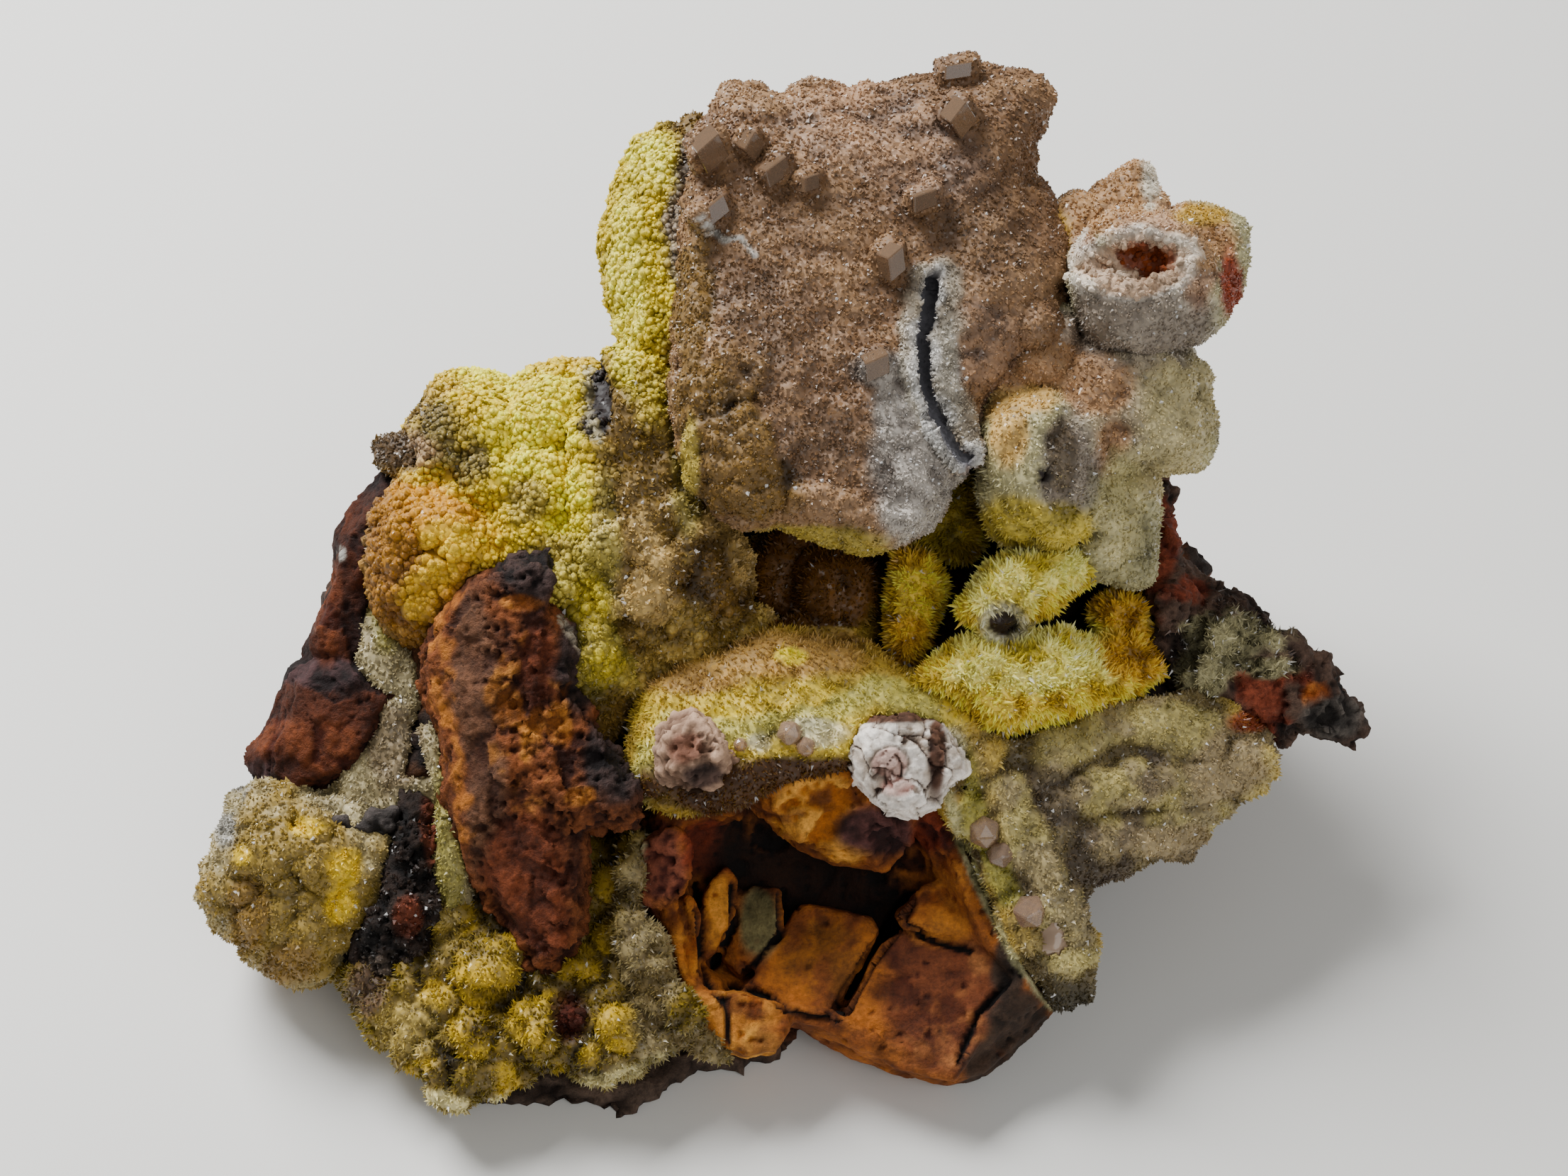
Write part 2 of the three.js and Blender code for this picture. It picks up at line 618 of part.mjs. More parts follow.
const hollowBlocks = [
  {
    // left column, bright orange
    outline: [[-11.8, -34], [-9.6, -31], [-8.6, -33], [-8.6, -38], [-7.6, -41], [-11, -41.2]],
    depth: 7,
    tilt: [0.4, 0.1],
  },
  {
    // narrow sliver beside it
    outline: [[-8.2, -31], [-6, -28], [-4.6, -29.4], [-5.2, -33], [-6.6, -36.6], [-8, -37.4]],
    depth: 5,
    tilt: [-0.3, -0.2],
  },
  {
    // grey-olive face
    outline: [
      [-4.9, -31.2], [-3, -30], [-0.4, -30.5], [-0.4, -34], [-2.6, -38], [-4.4, -39], [-6.2, -37.4],
    ],
    depth: 4.4,
    tilt: [0.25, -0.25],
  },
  {
    // middle block
    outline: [
      [0.2, -34.4], [1.8, -32], [5, -32.5], [8.5, -33.2], [9.5, -34.6], [7, -39], [5, -43],
      [0, -41.6], [-4, -40.2], [-2.3, -38.6],
    ],
    depth: 5.4,
    tilt: [0.05, -0.4],
  },
  {
    // bottom left, nearest the viewer
    outline: [
      [-11, -41.6], [-8, -40.8], [-4, -40.9], [-0.2, -42.2], [0.6, -44], [-1, -46.4], [-4, -47.2],
      [-6.8, -45.8], [-9, -43.6],
    ],
    depth: 9.4,
    tilt: [0, -0.1],
  },
  {
    // upper right
    outline: [[11.4, -33], [14, -30], [17.6, -29], [19.4, -32.4], [20.4, -35.4], [12, -34.3]],
    depth: 5.4,
    tilt: [-0.1, -0.35],
  },
  {
    // large right block
    outline: [
      [11.4, -34.9], [20.6, -36], [23.2, -38.4], [22.2, -41], [19.4, -46], [17.2, -49.6],
      [11, -48.2], [6, -44.8], [5.8, -43.4], [8, -39.6], [10, -36],
    ],
    depth: 7.4,
    tilt: [0.06, -0.3],
  },
  {
    // dark side face at the right edge
    outline: [
      [22.8, -41], [27.4, -42], [24.4, -45], [22.4, -46.8], [19.8, -48.8], [17.8, -49.2], [20, -46],
    ],
    depth: 6.4,
    tilt: [-0.2, -0.2],
  },
  {
    // dark red lump at the left edge
    outline: [
      [-15.4, -28], [-14, -25.6], [-11, -24], [-9.4, -26], [-10, -30], [-12, -32.4], [-14.6, -31],
    ],
    depth: 9.6,
    tilt: [0.2, 0],
  },
].map(({ outline, depth, tilt }) => block({ outline, depth, tilt, thick: HOLLOW_BLOCK_DEPTH }));

// The ledge that hangs over the hollow
const ledge = lump({
  outline: [
    [-4, -19.4], [1, -17.6], [6, -16.4], [10, -18], [14.6, -21], [13, -26], [10, -28.2], [5, -27.8],
    [1.4, -26.2], [-0.8, -24], [-3.4, -22],
  ],
  depth: 6,
  tilt: [0, 0.35],
  front: 4,
  back: 8,
  rings: COARSE_RINGS,
  boxy: 0.7,
  bumps: [[0.9, 3]],
  seed: 91,
});

// The white core in its husk
const whiteNodule = lump({
  outline: [
    [6, -15.6], [7.4, -13.6], [10, -12.4], [13, -12.4], [16, -13.8], [18.4, -16.4], [18.9, -18.6],
    [17, -20.2], [16, -22], [13.4, -23.4], [10.4, -23.3], [8.4, -21.6], [6.8, -19], [6, -17],
  ],
  depth: 10.5,
  tilt: [-0.05, 0.1],
  front: 4.2,
  back: 6,
  boxy: 0.7,
  bumps: [[0.8, 3]],
  seed: 93,
});
const pinkNodule = lump({
  outline: [
    [-12.8, -16.6], [-12.6, -14], [-11, -12.4], [-9, -12.2], [-7.4, -14], [-6, -15.4], [-4.8, -17.4],
    [-5.4, -19.2], [-7.6, -20.2], [-10, -20.6], [-12.6, -19.4],
  ],
  depth: 13,
  front: 4,
  back: 4,
  rings: COARSE_RINGS,
  bumps: [[0.9, 2.6]],
  seed: 95,
});

// The druse ridge across the middle
const middleRidge = lump({
  outline: [
    [-14.8, -20], [-15, -15], [-14, -11], [-11.6, -9.4], [-8, -7.4], [-4, -5.9], [0, -5.2],
    [4, -5.3], [8, -6.4], [11, -8.6], [15, -9.6], [18.4, -11], [20.4, -15], [20.4, -20],
    [17.6, -22], [11, -19], [4, -18.4], [0, -19], [-5, -21.4], [-10, -22],
  ],
  centre: [2, -14],
  depth: 7,
  tilt: [0, -0.2],
  front: 4.6,
  back: 9,
  boxy: 0.7,
  bumps: [[1, 4], [0.4, 1.8]],
  seed: 97,
});

// The druse slope that falls away to the right
const rightSlope = lump({
  outline: [
    [18, -13], [21, -12], [25, -12.4], [29, -12.8], [33, -11.4], [37, -10.6], [42, -9.4],
    [45.6, -11.6], [48, -14], [50.2, -17], [48.4, -20], [45, -22.2], [42.6, -24], [41.4, -28],
    [38, -27.4], [34.6, -28.8], [31, -30], [30.4, -33], [31.2, -37], [31.2, -41], [29, -42.6],
    [27.4, -42.6], [24.6, -38.6], [21.6, -33], [19, -27.4], [17, -22], [16.6, -17],
  ],
  centre: [28, -21],
  depth: 5.5,
  tilt: [-0.16, -0.1],
  front: 4,
  back: 8,
  boxy: 0.65,
  bumps: [[1.6, 7], [0.5, 2.4]],
  seed: 101,
});
const clearCrystals = [
  lump({
    outline: [
      [25.2, -34], [26, -32], [28, -31.6], [29, -33.4], [28.9, -37], [27.2, -38.4], [25.6, -37.4],
    ],
    depth: 8.4,
    front: 2.2,
    back: 2,
    rings: COARSE_RINGS,
    boxy: 0.8,
    bumps: [[0.3, 2]],
    seed: 103,
  }),
];

// The fingers of mimetite in the middle of the specimen
const finger = (options) => lump({ boxy: 0.85, bumps: [[0.5, 3.4], [0.45, 1.3]], ...options });
const backFinger = finger({
  outline: [
    [15.4, 13], [18.6, 12], [20, 9.4], [20.9, 6.6], [20.5, 4], [18.6, 2], [16.4, 2], [14, 4.4],
    [12.6, 7], [13.4, 11],
  ],
  depth: -2,
  front: 4,
  back: 9,
  seed: 107,
});
const uprightFinger = finger({
  outline: [
    [12.6, 4.9], [15, 3.6], [16.5, 1.6], [16.8, -0.6], [15.8, -3], [15, -5.4], [13.4, -8],
    [11.4, -8.8], [10.2, -6], [9.9, -2], [10.2, 1.6], [11, 4],
  ],
  depth: 3,
  front: 3.8,
  back: 7,
  seed: 109,
});
const holedFinger = finger({
  outline: [
    [17, -1.8], [18.4, 0.2], [20.2, 2.6], [24, 4.6], [28, 5.2], [32, 5.2], [34.2, 3.8], [33.6, 1.6],
    [31, 0.4], [29.4, -1], [27.4, -2.8], [24.4, -4], [22, -5], [19.6, -4.6], [17.4, -3.4],
  ],
  depth: 8,
  tilt: [-0.35, 0],
  front: 4.6,
  back: 7,
  rings: COARSE_RINGS,
  seed: 111,
});
const fingerHole = knob({ at: [22, -3.5], radius: 1.5, on: holedFinger, sunk: 0, seed: 112 });
const longFinger = finger({
  outline: [
    [12.6, -9.6], [14.4, -7], [17.4, -4.6], [21, -5], [25, -4.6], [28.4, -3.6], [31.4, -5],
    [35, -8], [38, -9], [36, -11], [32, -12.6], [27, -14], [22, -15], [19, -14], [16, -11.4],
  ],
  centre: [24, -9],
  depth: 8.4,
  tilt: [-0.25, -0.1],
  front: 4.4,
  back: 9,
  rings: COARSE_RINGS,
  seed: 113,
});
const sideFingers = [
  finger({
    outline: [
      [30.2, -2.6], [31.8, -0.6], [34.4, 0.4], [37, -0.8], [38.6, -3], [37.6, -5], [34, -5.4],
      [31.4, -4.6],
    ],
    depth: 1.5,
    front: 3.4,
    back: 8,
    rings: COARSE_RINGS,
    seed: 115,
  }),
  finger({
    outline: [[30.6, -5], [33, -3.4], [35.4, -4.2], [37.4, -6], [38.9, -8.8], [36.4, -10.2], [33, -9.4]],
    depth: 3.6,
    front: 3.2,
    back: 8,
    rings: COARSE_RINGS,
    seed: 117,
  }),
];
const cavityLumps = [
  lump({
    outline: [
      [-3.6, 0], [-3.2, 2.6], [-1.6, 5.6], [1, 8], [5, 7], [5, 2], [3.4, -2], [0, -4],
      [-2.6, -2.4],
    ],
    depth: -5,
    front: 3.6,
    back: 8,
    rings: COARSE_RINGS,
    bumps: [[1, 2.4]],
    seed: 119,
  }),
  lump({
    outline: [
      [1.4, 0], [2, 2.6], [4, 3.4], [8.6, 2.6], [9.7, 0], [9.5, -4], [7, -6.4], [3, -6.6],
      [0.8, -5], [2, -2.4],
    ],
    depth: -1,
    front: 3.6,
    back: 9,
    rings: COARSE_RINGS,
    bumps: [[1, 2.4]],
    seed: 121,
  }),
  lump({
    outline: [[-2, -6], [-0.6, -4.2], [1.6, -3.6], [2.8, -6], [1, -8], [-1.4, -8]],
    depth: 2.2,
    front: 2.4,
    back: 6,
    rings: COARSE_RINGS,
    bumps: [[0.6, 2]],
    seed: 123,
  }),
];

// The cluster on the right: stub, lumps and hanging columns
const greyFinger = lump({
  outline: [
    [20.2, 15.8], [21.6, 18], [24, 19.3], [26.6, 19.5], [29, 18.4], [30.6, 17], [31.3, 15],
    [31, 12], [30.8, 9], [30.4, 6.4], [28, 4.6], [24, 4.6], [22, 6], [21, 9], [20.8, 12], [20, 14],
  ],
  depth: 11,
  tilt: [0.2, 0.1],
  front: 5,
  back: 12,
  rings: COARSE_RINGS,
  boxy: 0.7,
  bumps: [[0.8, 3.4]],
  seed: 127,
});
const greyHole = knob({ at: [26, 11.4], radius: 0.9, on: greyFinger, sunk: 0, seed: 128 });
const columns = [
  [32, 7, 1.7, 5.4], [34.8, 6.4, 1.9, 5.6], [29.4, 7, 1.6, 5],
].map(([u, v, half, tall], i) =>
  lump({
    outline: [
      [u - half, v + tall], [u + half, v + tall], [u + half, v], [u + 0.8 * half, v - tall],
      [u - 0.8 * half, v - tall], [u - half, v],
    ],
    depth: 7 - 1.2 * i,
    front: 2.6,
    back: 8,
    rings: COARSE_RINGS,
    bumps: [[0.5, 2.4]],
    seed: 130 + i,
  }),
);
const paleLump = lump({
  outline: [
    [28, 25.2], [27, 22], [27.4, 18], [29, 14], [31, 11.4], [33, 11], [36, 11.8], [38.6, 12.2],
    [41, 13], [42.6, 15], [42.8, 16.6], [41.6, 18.6], [41.9, 20.6], [41, 22.6], [40, 24.6],
    [37, 26], [32, 27],
  ],
  depth: 6,
  tilt: [-0.1, 0],
  front: 5.5,
  back: 9,
  rings: COARSE_RINGS,
  boxy: 0.75,
  bumps: [[1, 4], [0.4, 1.8]],
  seed: 137,
});
const peachLumps = [
  [22.6, 19.8, 2.2], [25.8, 22.6, 2.8], [28.4, 20, 2], [23.6, 23, 2], [27.6, 26.2, 1.9],
].map(([u, v, radius], i) =>
  knob({ at: [u, v], radius, on: paleLump, depth: 9, sunk: 0.1, seed: 140 + i }),
);
const stub = lump({
  outline: [
    [29.4, 31], [30, 33.2], [31.6, 35.6], [33.6, 37.1], [37, 36.9], [39.6, 36.1], [41.8, 33.6],
    [43.6, 30.6], [43.8, 27.6], [42.2, 25.2], [39.6, 24.2], [36, 23.6], [32, 24], [30.4, 26.4],
    [29.6, 29],
  ],
  depth: 9.5,
  tilt: [0, 0.1],
  front: 6,
  back: 11,
  boxy: 0.65,
  bumps: [[0.7, 4]],
  seed: 149,
});
const stubPit = lump({
  outline: [
    [30.4, 32], [31.6, 34.2], [34.6, 34.9], [38.2, 34.8], [39.6, 33], [38.6, 31.2], [35.4, 30.4],
    [32.6, 30.2],
  ],
  depth: 16.4,
  front: 3,
  back: 3.4,
  rings: COARSE_RINGS,
  boxy: 0.7,
  bumps: [[0.3, 2]],
  seed: 151,
});
const rearLump = lump({
  outline: [
    [38, 36.6], [40.4, 38], [43, 37.8], [45.6, 36.6], [46, 33.6], [45.2, 30.4], [43.9, 27.4],
    [41, 26], [38, 30],
  ],
  depth: 3.5,
  front: 4.5,
  back: 7,
  rings: COARSE_RINGS,
  bumps: [[0.8, 3]],
  seed: 153,
});
const wedge = block({
  outline: [
    [27, 36.6], [29.4, 39], [30.6, 38.2], [33, 40], [35.8, 41.6], [36.6, 40], [37.6, 38], [37, 35],
    [32, 33], [28, 33.6],
  ],
  depth: 6,
  tilt: [0.1, -0.5],
  thick: 7,
});

// The rock at the right with its long tip
const rightRock = [
  lump({
    outline: [
      [36.4, 9], [38, 8.6], [38.7, 6], [39.2, 3.4], [42, 1], [45, 0.1], [47, -1.4], [49, -4],
      [51, -5], [50, -10], [49, -15.4], [44, -15], [40, -12], [36, -8], [34, -2], [34, 6],
    ],
    centre: [41.6, -5.4],
    depth: -1.5,
    tilt: [-0.05, -0.1],
    front: 4,
    back: 9,
    rings: COARSE_RINGS,
    boxy: 0.7,
    bumps: [[1.4, 5], [0.6, 2.4]],
    seed: 157,
  }),
  lump({
    outline: [
      [44, -4], [49, -3.8], [51.6, -5], [53.2, -7], [55.6, -8.6], [57.2, -11], [58.7, -14],
      [57.6, -16.2], [54.4, -15.2], [51, -14.2], [50.4, -16], [48.6, -15.4], [45, -12],
    ],
    centre: [50.6, -10.4],
    depth: -0.5,
    front: 3.4,
    back: 5,
    rings: COARSE_RINGS,
    boxy: 0.75,
    bumps: [[1.1, 3.4], [0.5, 1.8]],
    seed: 159,
  }),
  knob({ at: [37.8, 9.2], radius: 1.7, depth: -1.5, sunk: 0, seed: 161 }),
];
const rightTufts = [
  finger({
    outline: [[37, -1], [38, 0.4], [40, 0], [40.6, -3], [39.4, -5], [37.4, -4.6], [36.8, -3]],
    depth: 4,
    front: 2,
    back: 5,
    rings: COARSE_RINGS,
    seed: 163,
  }),
];

// The body of limonite that carries everything, and the rim that it stands on
const body = [
  rock({ at: [-24, 6, 13], size: [24, 24, 18], seed: 171 }),
  rock({ at: [22, 4, 12], size: [25, 21, 14], seed: 173 }),
  rock({ at: [-1, -3, 8], size: [17, 15, 11], bumps: [[2.5, 12]], seed: 176 }),
  rock({ at: [-6, 20, 15], size: [22, 16, 16], seed: 174 }),
  rock({ at: [4, 26, 23], size: [19, 15, 25], seed: 175 }),
  rock({ at: [30, 20, 25], size: [11, 11, 23], seed: 177 }),
];
const foot = lump({
  outline: [
    [-38, -43], [-35, -50.8], [-31, -53], [-27, -53.1], [-23, -52.6], [-19.6, -53.2], [-16.6, -54.4],
    [-13.4, -52.2], [-10, -50.2], [-8, -48.8], [-4, -48.8], [-1, -47.4], [2, -44.6], [6, -43], [8, -30],
    [0, -22], [-10, -20], [-24, -20], [-36, -26],
  ],
  centre: [-16, -38],
  depth: -4,
  tilt: [0, -0.5],
  front: 2.5,
  back: 12,
  boxy: 0.55,
  bumps: [[1.2, 4], [0.8, 2.2]],
  seed: 179,
});

// Earlier pieces keep their whole shape, and later ones are cut to fit round them.
const pieces = [
  { name: "limonite_body", material: RUST_LIMONITE, add: [...body, foot] },
  { name: "white_nodule", material: WHITE_CORE, add: [whiteNodule] },
  { name: "pink_nodule", material: PINK_CORE, add: [pinkNodule] },
  { name: "grey_dumbbell", material: DARK_LIMONITE, add: dumbbell },
  { name: "clear_crystal", material: CLEAR_CALCITE, add: clearCrystals },
  {
    name: "tan_slab",
    material: TAN_DRUSE,
    add: [slab, seamRim, ...calcites, ...slabKnobs],
    cut: [seamSlot],
  },
  {
    name: "right_cluster",
    material: PALE_DRUSE,
    add: [stub, greyFinger, paleLump, ...peachLumps, rearLump, wedge, ...columns],
    cut: [stubPit, greyHole],
  },
  {
    name: "fingers",
    material: YELLOW_MIMETITE,
    add: [holedFinger, longFinger, ...sideFingers],
    cut: [fingerHole],
  },
  { name: "upright_finger", material: YELLOW_MIMETITE, add: [uprightFinger] },
  { name: "back_finger", material: YELLOW_MIMETITE, add: [backFinger] },
  { name: "rust_slab", material: RUST_LIMONITE, add: [rustSlab] },
  { name: "dark_rock", material: DARK_LIMONITE, add: [darkRock] },
  { name: "left_rock", material: RUST_LIMONITE, add: leftRock },
  {
    name: "left_druse",
    material: LEMON_MIMETITE,
    add: [ridge, ridgeKnobs, yellowBed, ...yellowKnobs, amberLobe, rearCrust, sideDruse],
  },
  { name: "front_bed", material: YELLOW_MIMETITE, add: [frontBed, ...tufts, rustNodule, hollowRim] },
  {
    name: "blocky_hollow",
    material: ORANGE_LIMONITE,
    add: [hollowWall],
    cut: [scoop],
    fill: [ledge, ...hollowBlocks],
  },
  { name: "middle_druse", material: OLIVE_DRUSE, add: [middleRidge, rightSlope, ...cavityLumps] },
  { name: "lower_druse", material: OLIVE_DRUSE, add: [lowerLobe, paleBed, palePeak] },
  { name: "right_rock", material: DARK_LIMONITE, add: [...rightRock, ...rightTufts] },
];

function joined(shapes, grow) {
  return shapes.map((shape) => shape.solid(grow)).reduce((all, one) => all.add(one));
}

function boxesMeet(a, b) {
  const [p, q] = [a.boundingBox(), b.boundingBox()];
  return [0, 1, 2].every((axis) => p.min[axis] < q.max[axis] && q.min[axis] < p.max[axis]);
}

// What is left of a piece once its neighbours have cut it: its one large body, without crumbs.
function largestOf(solid) {
  return solid.decompose().reduce((best, one) => (one.volume() > best.volume() ? one : best));
}

const belowTable = solidOf(
  new THREE.BoxGeometry(TABLE_CUTTER, TABLE_CUTTER, TABLE_CUTTER).translate(0, 0, -TABLE_CUTTER / 2),
);
const specimen = new THREE.Group();
const placed = [];
for (const { name, material, add, cut = [], fill = [] } of pieces) {
  let solid = joined(add, 0);
  for (const cutter of cut) solid = solid.subtract(cutter.solid());
  for (const filler of fill) solid = solid.add(filler.solid());
  for (const neighbour of placed) {
    if (boxesMeet(solid, neighbour)) solid = solid.subtract(neighbour);
  }
  solid = largestOf(solid.subtract(belowTable));
  const mesh = new THREE.Mesh(geometryOf(solid), material);
  mesh.name = name;
  specimen.add(mesh);
  placed.push(joined([...add, ...fill], JOINT_GAP).add(solid));
}

export default specimen;
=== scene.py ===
"""Dresses the mimetite specimen: druse, spines and weathered limonite over its CAD solids."""

import itertools
import math

import bmesh
import bpy
import numpy as np
from bpy.props import FloatProperty, FloatVectorProperty, IntProperty, PointerProperty
from mathutils import Euler, Matrix, Vector
from mathutils.bvhtree import BVHTree


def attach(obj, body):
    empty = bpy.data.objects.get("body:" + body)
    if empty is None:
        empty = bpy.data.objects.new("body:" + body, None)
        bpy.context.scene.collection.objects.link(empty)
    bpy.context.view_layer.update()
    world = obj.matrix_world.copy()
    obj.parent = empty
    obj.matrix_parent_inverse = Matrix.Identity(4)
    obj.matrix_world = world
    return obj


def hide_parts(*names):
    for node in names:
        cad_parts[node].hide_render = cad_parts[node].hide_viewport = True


bl_info = {
    "name": "Mimetite Specimen",
    "version": (1, 0, 0),
    "blender": (4, 5, 0),
    "location": "View3D > Sidebar > Specimen",
    "description": "Grows druse, spines and rust on the solids of a mimetite specimen",
    "category": "Object",
}

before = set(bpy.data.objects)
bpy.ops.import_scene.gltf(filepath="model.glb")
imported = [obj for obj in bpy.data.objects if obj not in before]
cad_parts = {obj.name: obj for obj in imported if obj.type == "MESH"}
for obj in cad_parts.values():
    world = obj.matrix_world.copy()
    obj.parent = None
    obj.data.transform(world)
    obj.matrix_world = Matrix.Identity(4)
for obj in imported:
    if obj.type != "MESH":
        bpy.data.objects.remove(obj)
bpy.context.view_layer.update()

MM = 0.001
PAINT = "paint"
MERGE_DISTANCE = 1e-6
GRAIN_SIDES = 4
SPINE_SIDES = 3
DOME_SIDES = 5
FINGER_SPINE_SIDES = 4

# Large factors that scatter a cell's place over the whole numbers up to the largest
CELL_FACTORS = (73856093, 19349663, 83492791)
SALT_FACTOR = 2654435761
SCATTER = ((15, 2246822519), (13, 3266489917))
LAST_SHIFT = 16
LARGEST = 0xFFFFFFFF

# How far apart the noise of two seeds lies, in swings and in cells
WOBBLE_STEP = 17.3
CELL_STEP = 31.7

# Percentiles of the relief that get the low colour, painted shade in the hollows, and the high colour,
# painted light on the rises, and the share that noise adds
RELIEF_RANGE = (8, 92)
RELIEF_NOISE = 0.15

# A small crystal's size and stretch beside the mean one, and the paint of one painted near-white as a
# painted glint
SIZE_LIMITS = (0.5, 1.8)
STRETCH_LIMITS = (0.8, 1.25)
PAINTED_GLINT_KEEP = 0.25
PAINTED_GLINT_WHITE = 0.62

# The side that the specimen is seen from, as in its CAD
VIEW_ELEVATION = math.radians(50)
VIEW_DISTANCE = 230 * MM
VIEW_TARGET = np.array([0, 0, 30 * MM])
VIEW_WIDTH = 158 * MM
RIGHTWARDS = np.array([1, 0, 0])
UPWARDS = np.array([0, math.sin(VIEW_ELEVATION), math.cos(VIEW_ELEVATION)])
TOWARDS = np.array([0, -math.cos(VIEW_ELEVATION), math.sin(VIEW_ELEVATION)])
CAMERA_PLACE = VIEW_TARGET + VIEW_DISTANCE * TOWARDS


def linear(code):
    """A colour for the shader, from its web code."""
    parts = [int(code[i : i + 2], 16) / 255 for i in (1, 3, 5)]
    return np.array([p / 12.92 if p < 0.04 else ((p + 0.055) / 1.055) ** 2.4 for p in parts])


def tint(name, code):
    """A colour that can be changed."""
    return FloatVectorProperty(
        name=name, description=f"Colour of the {name.lower()}", subtype="COLOR", size=3,
        min=0, max=1, default=tuple(linear(code)),
    )


def length(name, description, value):
    """A length that can be changed, given in millimetres."""
    return FloatProperty(name=name, description=description, default=value * MM, min=0, unit="LENGTH")


def density(name, description, value):
    """A number on each square millimetre that can be changed."""
    description = f"{description} on a square millimetre"
    return FloatProperty(name=name, description=description, default=value, min=0)


# Noise


def random_in(cell, salt):
    """A steady random number from 0 to 1 for each whole-numbered cell of space."""
    x, y, z = (cell * CELL_FACTORS).T
    key = x ^ y ^ z ^ (salt * SALT_FACTOR)
    for shift, factor in SCATTER:
        key = ((key ^ (key >> shift)) * factor) & LARGEST
    return (key ^ (key >> LAST_SHIFT)) / LARGEST


def wobble(points, size, seed):
    """Smooth noise from -1 to 1, with about one swing in each size."""
    place = points / size + WOBBLE_STEP * seed
    corner = np.floor(place).astype(np.int64)
    share = smooth_step(place - corner, 0, 1)
    total = np.zeros(len(points))
    for step in itertools.product((0, 1), repeat=3):
        weight = np.prod(np.where(step, share, 1 - share), axis=1)
        total += weight * (2 * random_in(corner + step, seed) - 1)
    return total


def rough(points, size, seed, octaves=3):
    """Layers of ever finer noise, from about -1 to 1."""
    layers = (0.5**i * wobble(points, size * 0.5**i, seed + i) for i in range(octaves))
    return sum(layers) / 1.4


def ridged(points, size, seed, octaves=3):
    """Sharp ridges over rounded hollows, from 0 to 1."""
    layers = (0.5**i * (1 - np.abs(wobble(points, size * 0.5**i, seed + i))) for i in range(octaves))
    return sum(layers) / 1.75


class Cells:
    """Space broken into cells of about one size, each round a seed point of its own.

    For each point, near is how far its cell's seed point is, in cells, and gap how much further the
    next one is. Tilt gives each cell a slope of its own, and shade a number from 0 to 1.
    """

    FAR = 9.0
    SALTS = (101, 211, 307)

    def __init__(self, points, size, seed):
        place = points / size + CELL_STEP * seed
        corner = np.floor(place).astype(np.int64)
        self.near = np.full(len(points), self.FAR)
        second = self.near.copy()
        self.tilt = np.zeros(len(points))
        self.shade = np.zeros(len(points))
        for step in itertools.product((-1, 0, 1), repeat=3):
            cell = corner + step
            jitter = np.stack([random_in(cell, seed + salt) for salt in self.SALTS], axis=1)
            away = place - cell - jitter
            far = np.linalg.norm(away, axis=1)
            closer = far < self.near
            second = np.where(closer, self.near, np.minimum(second, far))
            self.near = np.where(closer, far, self.near)
            lean = ((2 * jitter[:, [1, 2, 0]] - 1) * away).sum(axis=1)
            self.tilt = np.where(closer, lean, self.tilt)
            self.shade = np.where(closer, jitter[:, 0], self.shade)
        self.gap = second - self.near

    def domes(self):
        """A round dome on each cell."""
        return np.sqrt(np.clip(1 - (self.near / 0.95) ** 2, 0, 1))

    def cracks(self, width):
        """1 between the cells, and 0 from a width outwards."""
        return smooth_step(self.gap, width, 0)


def smooth_step(x, low, high):
    share = np.clip((x - low) / (high - low), 0, 1)
    return share * share * (3 - 2 * share)


def face_on(points):
    """How far right, up and near the viewer sees each point, in millimetres."""
    away = (points - VIEW_TARGET) / MM
    near = away @ TOWARDS
    shrink = 1 - near / (VIEW_DISTANCE / MM)
    return away @ RIGHTWARDS / shrink, away @ UPWARDS / shrink, near


# A piece and its skin


def new_piece(name, mesh, node, slot, material):
    """A piece that rides on the specimen and stands for a CAD node if one is named."""
    piece = bpy.data.objects.new(name, mesh)
    bpy.context.scene.collection.objects.link(piece)
    mesh.materials.clear()
    mesh.materials.append(material)
    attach(piece, "root")
    if node:
        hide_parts(node)
    return piece


def finish_glass(bm, wear, name, material):
    """Wears the edges of some crystals and makes them one piece."""
    bmesh.ops.bevel(bm, geom=bm.edges, offset=wear, segments=1, affect="EDGES", profile=0.5, material=-1)
    bmesh.ops.recalc_face_normals(bm, faces=bm.faces)
    mesh = bpy.data.meshes.new(name)
    bm.to_mesh(mesh)
    bm.free()
    new_piece(name, mesh, None, "clear_calcite", material)


def copy_of(node, slot, material):
    """A copy of a CAD solid, with its loose triangles merged."""
    name = f"{node}_skin"
    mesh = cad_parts[node].data.copy()
    bm = bmesh.new()
    bm.from_mesh(mesh)
    bmesh.ops.remove_doubles(bm, verts=bm.verts, dist=MERGE_DISTANCE)
    bm.to_mesh(mesh)
    bm.free()
    mesh.name = name
    return new_piece(name, mesh, node, slot, material)


